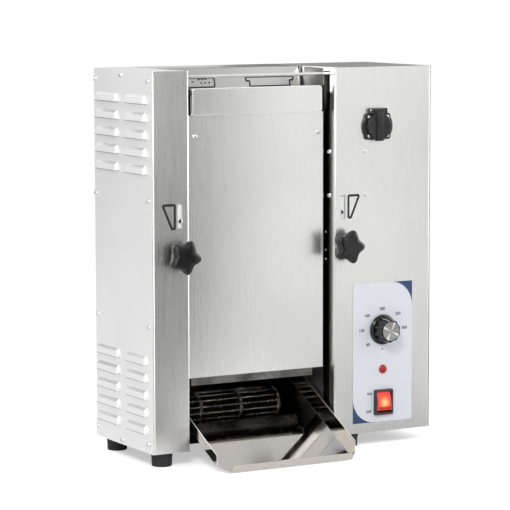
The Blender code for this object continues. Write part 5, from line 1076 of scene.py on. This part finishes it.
class TOASTER_OT_switch(bpy.types.Operator):
    """Makes the lit rocker with its grip ribs, and the frame that it rocks in"""

    bl_idname = "toaster.switch"
    bl_label = "Power switch"

    def execute(self, context):
        sizes = context.scene.toaster_controls
        width, height = sizes.bezel_width / MM, sizes.bezel_height / MM
        rings = [
            facing_ring(rounded_rectangle(width - less, height - less, corner), ROCKER_MIDDLE, y)
            for less, corner, y in FRAME_RINGS
        ]
        frame_piece = piece("switch_frame", loft(rings, "join"), "grey_moulded_abs", "cabinet")
        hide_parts("rocker_bezel")
        piece("switch_well_floor", block(*WELL_FLOOR, 0.3), "satin_moulded_abs", "cabinet")

        half = (width - WELL_LESS) / 2 - ROCKER_SIDE_GAP
        reach = (height - WELL_LESS) / 2 - ROCKER_END_GAP
        tilt = Matrix.Rotation(-sizes.rocker_tilt, 2)
        rings = []
        for x, share in ((-half, 0.94), (-half + ROCKER_EDGE, 1.0), (half - ROCKER_EDGE, 1.0), (half, 0.94)):
            outline = [(max(depth * share, depth), rise * (0.5 + share / 2)) for depth, rise in rocker_profile(reach)]
            rings.append(tipped(x, outline, tilt))
        rocker = loft(rings)
        made = piece("lit_rocker", rocker, "lit_red_rocker", "power_switch", math.radians(24))
        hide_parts("power_rocker")
        ribs = bmesh.new()
        outline = [(depth, reach * share) for depth, share in RIB_PROFILE]
        for k in range(RIB_COUNT):
            x = (half - RIB_INSET) * (2 * k / (RIB_COUNT - 1) - 1)
            loft([tipped(x + side, outline, tilt) for side in (-RIB_HALF_WIDTH, RIB_HALF_WIDTH)], "cap", ribs)
        piece("rocker_grip_ribs", ribs, "shaded_red_rib", "power_switch")
        return {"FINISHED"}


class TOASTER_OT_lamp(bpy.types.Operator):
    """Makes the indicator lamp: a domed red lens in a thin pale ring"""

    bl_idname = "toaster.lamp"
    bl_label = "Indicator lamp"

    def execute(self, context):
        outer = context.scene.toaster_controls.lamp_ring / MM
        made = piece("lamp_lens", turned(LENS_PROFILE, LAMP_MIDDLE), "glowing_red_lens", "cabinet")
        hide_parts("indicator_lamp")
        profile = ((7.2, -0.9), (outer, -0.9), (outer + 0.1, -1.2), (outer - 0.4, -1.7), (7.5, -1.9), (7.2, -1.8))
        ring = turned(profile, LAMP_MIDDLE, ends="join")
        piece("lamp_ring", ring, "pale_pink_gasket", "cabinet")
        return {"FINISHED"}


def bulged(width, height, corner, radius, steps=12):
    """A rounded rectangle whose two upright sides bulge out along a circle."""
    points = rounded_rectangle(width, height, corner, 8)
    reach = math.acos(width / 2 / radius)
    outline = []
    for point, after in zip(points, [*points[1:], points[0]]):
        outline.append(point)
        if abs(point[0] - after[0]) < 0.001 and abs(point[1] - after[1]) > height / 2:
            way = math.copysign(1, point[0])
            turn = math.copysign(1, after[1])
            for step in range(steps + 1):
                angle = turn * reach * (2 * step / steps - 1)
                outline.append((way * radius * math.cos(angle), radius * math.sin(angle)))
    return outline


class TOASTER_OT_socket(bpy.types.Operator):
    """Makes the socket's flange with its screws and hinge lugs, and the banded lid"""

    bl_idname = "toaster.socket"
    bl_label = "Socket"

    def execute(self, context):
        radius = context.scene.toaster_controls.lid_radius / MM
        x, z = SOCKET_MIDDLE
        flange = loft([
            facing_ring(
                bulged(FLANGE_WIDTH - less, FLANGE_HEIGHT - less, FLANGE_CORNER - less / 3, FLANGE_BULGE - less / 2),
                SOCKET_MIDDLE, y,
            )
            for y, less in FLANGE_RINGS
        ])
        flange = carved(flange, turned(CUP_OUTSIDE, SOCKET_MIDDLE, 64), "UNION")
        flange = carved(flange, turned(CUP_INSIDE, SOCKET_MIDDLE, 64))
        for way in (-1, 1):
            flange = carved(flange, turned(PIN_HOLE, (x + way * PIN_HOLE_OFFSET, z), 20))
            low, high = sorted(x + way * reach for reach in LUG_REACH)
            block((low, -10.6, 523.0), (high, -0.4, 533.1), 1.6, 4, flange)
        made = piece("socket_flange", flange, "satin_moulded_abs", "cabinet")
        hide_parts("socket_body")
        head = screw_head(*(size * MM for size in FLANGE_SCREW_MM))
        screws = spread(head, [at(sx, -4.5, sz) for sx, sz in SOCKET_SCREWS], (0, -1, 0))
        head.free()
        piece("socket_flange_screws", screws, "zinc_plated_screw", "cabinet")

        lid = turned(
            ((0.4, -5.0), (radius - 0.4, -5.0), (radius, -5.4), (radius, -8.4), (radius - 0.35, -9.3),
             (radius - 1.2, -9.85), (radius - 2.4, -10.0), (radius - 3.2, -9.8), (0.4, -10.1)),
            SOCKET_MIDDLE, 80,
        )
        for wide, (front, back), ends, edge, steps in LID_BLOCKS:
            foot, top = [z + side * radius + over for side, over in ends]
            block((x - wide, front, foot), (x + wide, back, top), edge, steps, lid)
        made = piece("socket_banded_lid", lid, "satin_moulded_abs", "socket_cover")
        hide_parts("socket_lid")
        return {"FINISHED"}


BELT_SHAFT_DEPTH = 105.0
BELT_LOWER, BELT_UPPER = 155.0, 525.0
BELT_STRAIGHT = BELT_UPPER - BELT_LOWER
BELT_HALF_WIDTH = 112.6
BELT_MIDDLE_X = 198.0
HOOK_INSET = 3.2
# One hook of a cross wire, as (across, share of the pitch back, wires back, wires lifted).
HOOK = (
    (-3.0, 0, 0, 0), (-2.3, 0.45, 0, 0.55), (-1.5, 1, 0.6, 0), (1.5, 1, 0.6, 0), (2.3, 0.45, 0, -0.55), (3.0, 0, 0, 0),
)
# Each pointer's side, the x of its arrow, and which way the arrow points.
POINTERS = (("left", 49.4, -1), ("right", 346.6, 1))
POINTER_HEIGHT = 366.0
ARROWHEAD = ((-2.2, 4.0), (3.0, 0.0), (-2.2, -4.0))
# A foot's profile, as shares of (radius, height).
FOOT_PROFILE = (
    (0.30, 0.03), (0.80, 0.03), (0.84, 0.0), (0.91, 0.0), (0.94, 0.05), (0.955, 0.3), (0.97, 0.62), (0.985, 0.68),
    (1.0, 0.72), (1.0, 0.94), (0.97, 1.0), (0.3, 1.0),
)


class ToasterBelt(bpy.types.PropertyGroup):
    """Sizes of the wire belt."""

    wire_diameter: length_property("Wire", "Diameter of the belt's wire", 2.6)
    loop_radius: length_property("Loop", "Radius at which the belt's wires turn round the rollers", 26.8)
    rungs: bpy.props.IntProperty(name="Rungs", description="How many cross wires the belt has", default=86, min=12)


def belt_place(run, radius, x, lift):
    """A place on the belt: so far along its loop, up the front and down the rear, at a width, and lifted off it."""
    half_loop = BELT_STRAIGHT + math.pi * radius
    rear, along = divmod(run % (2 * half_loop), half_loop)
    reach = radius + lift
    if along < BELT_STRAIGHT:
        y, z = -reach, along
    else:
        angle = (along - BELT_STRAIGHT) / radius
        y, z = -reach * math.cos(angle), BELT_STRAIGHT + reach * math.sin(angle)
    return at(x, BELT_SHAFT_DEPTH - y, BELT_UPPER - z) if rear else at(x, BELT_SHAFT_DEPTH + y, BELT_LOWER + z)


def rung_path(run, pitch, radius, wire):
    """One cross wire: straight in its lanes, and hooked over the wire below it at each lane's edge."""
    edge = BELT_HALF_WIDTH - HOOK_INSET
    return [
        belt_place(run - pitch * share - wire * back, radius, BELT_MIDDLE_X + hook + across, wire * lift)
        for hook in (-edge, -BELT_HALF_WIDTH / 3, BELT_HALF_WIDTH / 3, edge)
        for across, share, back, lift in HOOK
    ]


class TOASTER_OT_belt(bpy.types.Operator):
    """Weaves the flat wire belt: cross wires that hook over each other at their lanes' edges"""

    bl_idname = "toaster.belt"
    bl_label = "Wire belt"

    def execute(self, context):
        sizes = context.scene.toaster_belt
        radius, wire = sizes.loop_radius / MM, sizes.wire_diameter / MM
        pitch = 2 * (BELT_STRAIGHT + math.pi * radius) / sizes.rungs
        mesh = bmesh.new()
        for rung in range(sizes.rungs):
            swept(rung_path(rung * pitch, pitch, radius, wire), sizes.wire_diameter / 2, 6, mesh)
        made = piece("woven_wire_belt", mesh, "drawn_belt_wire", "cabinet", math.radians(75))
        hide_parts("wire_belt")
        return {"FINISHED"}


class TOASTER_OT_pointers(bpy.types.Operator):
    """Puts the pale slides and their black arrowheads behind the thickness windows"""

    bl_idname = "toaster.pointers"
    bl_label = "Pointers"

    def execute(self, context):
        for side, x, way in POINTERS:
            outline = [(x + way * across, POINTER_HEIGHT + up) for across, up in ARROWHEAD]
            arrow = ink_patch(outline, front_face(1.35), bmesh.new(), 0.4)
            piece(f"{side}_pointer_arrow", arrow, "black_screen_ink", f"{side}_pointer")
            slide = block((x - 5.6, 2.95, 329.5), (x + 5.6, 3.55, 402.5), 0.2)
            piece(f"{side}_pointer_slide", slide, "baked_white_enamel", f"{side}_pointer")
        return {"FINISHED"}


class TOASTER_OT_feet(bpy.types.Operator):
    """Makes the round rubber feet with their moulded rims"""

    bl_idname = "toaster.feet"
    bl_label = "Feet"

    def execute(self, context):
        for name in ("front_left", "front_right", "rear_left", "rear_right"):
            low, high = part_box(f"foot_{name}")
            middle = (low + high) / 2
            radius, height = (high.x - low.x) / 2, high.z - low.z
            rings = [
                [Vector((middle.x + radius * share * a, middle.y + radius * share * b, low.z + height * rise))
                 for a, b in circle(1.0, 64)]
                for share, rise in FOOT_PROFILE
            ]
            foot = piece(f"rubber_foot_{name}", loft(rings), "moulded_rubber", "cabinet")
            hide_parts(f"foot_{name}")
        return {"FINISHED"}


class ToasterStage(bpy.types.PropertyGroup):
    """How the toaster is set, lit and seen."""

    floor_glow: bpy.props.FloatProperty(
        name="Floor glow", description="How much the floor is lifted towards the white background", default=0.47,
        min=0.0, max=1.0,
    )
    floor_radius: length_property("Floor radius", "How far the floor reaches from the toaster", 9000)
    world_light: bpy.props.FloatProperty(
        name="Room light", description="Strength of the light that comes from all round", default=0.62, min=0.0
    )
    key_light: power_property("Key lamp", "Power of the large soft lamp at the front left", 62.0)
    fill_light: power_property("Fill lamp", "Power of the soft lamp at the right", 20.0)
    strip_light: power_property("Strip lamps", "Power of each tall lamp that lights the sheets' bends", 14.0)
    camera_place: bpy.props.FloatVectorProperty(
        name="Camera", description="Where the camera stands, in metres in the row frame", subtype="TRANSLATION",
        unit="LENGTH", default=tuple(at(-1759.2, -3440.4, 748.8)),
    )
    camera_yaw: angle_property("Camera yaw", "Turn of the camera to the right of straight back", 29.45)
    camera_pitch: angle_property("Camera pitch", "Tilt of the camera below the horizon", 6.40)
    camera_roll: angle_property("Camera roll", "Turn of the camera about its own view", -0.09)
    focal_length: bpy.props.FloatProperty(
        name="Focal length", description="Focal length on a sensor 36 mm wide", subtype="DISTANCE_CAMERA", default=176.6
    )


# Cards that stand up: y, from and to in x, from and to in z, all in metres, and colours.
UPRIGHT_CARDS = {
    "flag_before_left_column": (-0.75, (0.06, 0.26), (-0.10, 1.00), ("#5c5c5c", "#626262")),
    "flag_before_left_edge": (-0.76, (-0.16, 0.06), (-0.10, 0.42), ("#a2a2a2", "#a8a8a8")),
    "flag_before_right_edge": (-0.75, (0.74, 0.95), (-0.10, 0.70), ("#c8c8c8", "#cecece")),
    "flag_behind_left": (0.60, (-0.40, -0.12), (0.30, 0.62), ("#161616", "#1c1c1c")),
    "flag_behind_right_top": (1.20, (0.56, 1.50), (0.64, 1.15), ("#161616", "#1c1c1c")),
}
# Cards that lie on the floor: height, corners, and colours.
FLOOR_CARDS = {
    "flag_on_floor_left": (
        0.002, ((-0.238, -0.24), (-0.109, -0.24), (0.20, -0.85), (-0.10, -0.85)), ("#6a6a6a", "#707070"),
    ),
    "flag_on_floor_right": (
        0.004, ((0.09, -0.07), (0.30, -0.07), (1.05, -1.30), (0.62, -1.30)), ("#b6b6b6", "#bcbcbc"),
    ),
}
# Lamps: place, width and height in metres, and the property that holds the power.
LAMPS = {
    "key_lamp": ((-1.9, -2.4, 2.3), (0.9, 0.7), "key_light"),
    "fill_lamp": ((2.4, -1.6, 1.5), (1.8, 1.8), "fill_light"),
    "right_strip_lamp": ((2.6, -0.75, 0.45), (0.5, 2.2), "strip_light"),
    "front_strip_lamp": ((-0.8, -2.9, 0.45), (0.35, 2.2), "strip_light"),
}
TOASTER_MIDDLE = Vector((0.0, 0.0, 0.3))
WHITE = (1.0, 1.0, 1.0, 1.0)
MIRRORED_FLOOR_SHARE = 0.22
FLOOR_SIDES = 64
FLOOR_DROP = 0.4 * MM
SENSOR_WIDTH_MM = 36.0
CAMERA_SEES = (0.1, 60.0)


def light_the_room(strength):
    """A world that is white where it is seen, straight on or in metal and glass, and lights evenly at a strength."""
    world = bpy.data.worlds.new("studio_room")
    world.use_nodes = True
    tree = world.node_tree
    tree.nodes.clear()
    rays = add_node(tree, "ShaderNodeLightPath").outputs
    seen = rays["Is Camera Ray"]
    for name in ("Is Glossy Ray", "Is Transmission Ray"):
        seen = add_node(tree, "ShaderNodeMath", (), {0: seen, 1: rays[name]}, operation="MAXIMUM")
    lit, shown = [
        add_node(tree, "ShaderNodeBackground", {"Color": WHITE, "Strength": power}) for power in (strength, 1.0)
    ]
    mixed = add_node(tree, "ShaderNodeMixShader", (), {"Fac": seen, 1: lit, 2: shown})
    add_node(tree, "ShaderNodeOutputWorld", (), {"Surface": mixed})
    bpy.context.scene.world = world


def flat_object(name, corners, material):
    """An object with one flat face through its corners."""
    mesh = bpy.data.meshes.new(name)
    mesh.from_pydata(corners, [], [tuple(range(len(corners)))])
    mesh.materials.append(material)
    made = bpy.data.objects.new(name, mesh)
    bpy.context.scene.collection.objects.link(made)
    return made


def lay_floor(colours, glow, radius):
    """A pale floor that keeps the toaster's shadow and shows white elsewhere."""
    material = finish(
        "matt_white_paper",
        {"Roughness": 0.9, "Specular IOR Level": 0.0, "Emission Color": WHITE},
        Pattern((120, 120, 120), 2.0, 0.5, colours=colours),
    )
    tree = material.node_tree
    rays = add_node(tree, "ShaderNodeLightPath").outputs
    mirrored = add_node(
        tree, "ShaderNodeMath", {1: MIRRORED_FLOOR_SHARE}, {0: rays["Is Glossy Ray"]}, operation="MULTIPLY"
    )
    seen = add_node(tree, "ShaderNodeMath", (), {0: rays["Is Camera Ray"], 1: mirrored}, operation="MAXIMUM")
    lit = add_node(tree, "ShaderNodeMath", {1: glow}, {0: seen}, operation="MULTIPLY")
    link_into(tree.nodes["Principled BSDF"], {"Emission Strength": lit})
    rim = [(x, y, 0.0) for x, y in circle(radius, FLOOR_SIDES)]
    floor = flat_object("studio_floor", rim, material)
    floor.location.z = -FLOOR_DROP


def hang_lamp(name, place, size, power):
    """A rectangular soft lamp that faces the toaster."""
    light = bpy.data.lights.new(name, "AREA")
    light.shape = "RECTANGLE"
    light.size, light.size_y = size
    light.energy = power
    lamp = bpy.data.objects.new(name, light)
    lamp.location = place
    lamp.rotation_euler = (TOASTER_MIDDLE - Vector(place)).to_track_quat("-Z", "Y").to_euler()
    bpy.context.scene.collection.objects.link(lamp)


def hang_card(name, corners, colours):
    """A matt card beside the set, out of the camera's sight, that only the bright metal mirrors."""
    paper = finish(name, {"Roughness": 1.0, "Specular IOR Level": 0.0}, Pattern((90, 90, 90), colours=colours))
    card = flat_object(name, corners, paper)
    card.visible_camera = False
    card.visible_shadow = False
    card.visible_diffuse = False


def stand_camera(stage):
    """The camera, placed and turned as the stage says."""
    camera = bpy.data.objects.new("photo_camera", bpy.data.cameras.new("photo_camera"))
    camera.data.sensor_width = SENSOR_WIDTH_MM
    camera.data.lens = stage.focal_length
    camera.data.clip_start, camera.data.clip_end = CAMERA_SEES
    camera.matrix_world = (
        Matrix.Translation(stage.camera_place)
        @ Matrix.Rotation(-stage.camera_yaw, 4, "Z")
        @ Matrix.Rotation(math.pi / 2 - stage.camera_pitch, 4, "X")
        @ Matrix.Rotation(stage.camera_roll, 4, "Z")
    )
    bpy.context.scene.collection.objects.link(camera)
    bpy.context.scene.camera = camera


class TOASTER_OT_stage(bpy.types.Operator):
    """Lays the floor, lights the set and stands the camera where the photographer's stood"""

    bl_idname = "toaster.stage"
    bl_label = "Stage"

    def execute(self, context):
        stage = context.scene.toaster_stage
        light_the_room(stage.world_light)
        lay_floor(("#f2f2f2", "#f4f4f4"), stage.floor_glow, stage.floor_radius)
        for name, (y, (left, right), (low, high), colours) in UPRIGHT_CARDS.items():
            hang_card(name, ((left, y, low), (right, y, low), (right, y, high), (left, y, high)), colours)
        for name, (height, corners, colours) in FLOOR_CARDS.items():
            hang_card(name, [(x, y, height) for x, y in corners], colours)
        for name, (place, size, power) in LAMPS.items():
            hang_lamp(name, place, size, getattr(stage, power))
        stand_camera(stage)
        context.scene.view_settings.view_transform = "Standard"
        return {"FINISHED"}


class TOASTER_OT_finishes(bpy.types.Operator):
    """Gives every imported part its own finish"""

    bl_idname = "toaster.finishes"
    bl_label = "Finishes"

    def execute(self, context):
        dress_nodes()
        return {"FINISHED"}


GROUPS = {
    "toaster_fasteners": ToasterFasteners,
    "toaster_print": ToasterPrint,
    "toaster_knobs": ToasterKnobs,
    "toaster_controls": ToasterControls,
    "toaster_belt": ToasterBelt,
    "toaster_stage": ToasterStage,
}
OPERATORS = (
    TOASTER_OT_finishes,
    TOASTER_OT_fasteners,
    TOASTER_OT_sheet_trim,
    TOASTER_OT_print,
    TOASTER_OT_knobs,
    TOASTER_OT_switch,
    TOASTER_OT_lamp,
    TOASTER_OT_socket,
    TOASTER_OT_belt,
    TOASTER_OT_pointers,
    TOASTER_OT_feet,
    TOASTER_OT_stage,
)


class TOASTER_PT_panel(bpy.types.Panel):
    """Lists the toaster's pieces and its stage"""

    bl_label = "Toaster"
    bl_idname = "TOASTER_PT_panel"
    bl_space_type = "VIEW_3D"
    bl_region_type = "UI"
    bl_category = "Toaster"

    def draw(self, context):
        for operator in OPERATORS:
            self.layout.operator(operator.bl_idname)
        for name in GROUPS:
            group = getattr(context.scene, name)
            for key in group.bl_rna.properties.keys():
                if key not in ("rna_type", "name"):
                    self.layout.prop(group, key)


CLASSES = (*GROUPS.values(), *OPERATORS, TOASTER_PT_panel)


def register():
    for each in CLASSES:
        bpy.utils.register_class(each)
    for name, group in GROUPS.items():
        setattr(bpy.types.Scene, name, bpy.props.PointerProperty(type=group))


def unregister():
    for name in GROUPS:
        delattr(bpy.types.Scene, name)
    for each in reversed(CLASSES):
        bpy.utils.unregister_class(each)


def main():
    register()
    for operator in OPERATORS:
        group, name = operator.bl_idname.split(".")
        getattr(getattr(bpy.ops, group), name)()


if __name__ == "__main__":
    main()
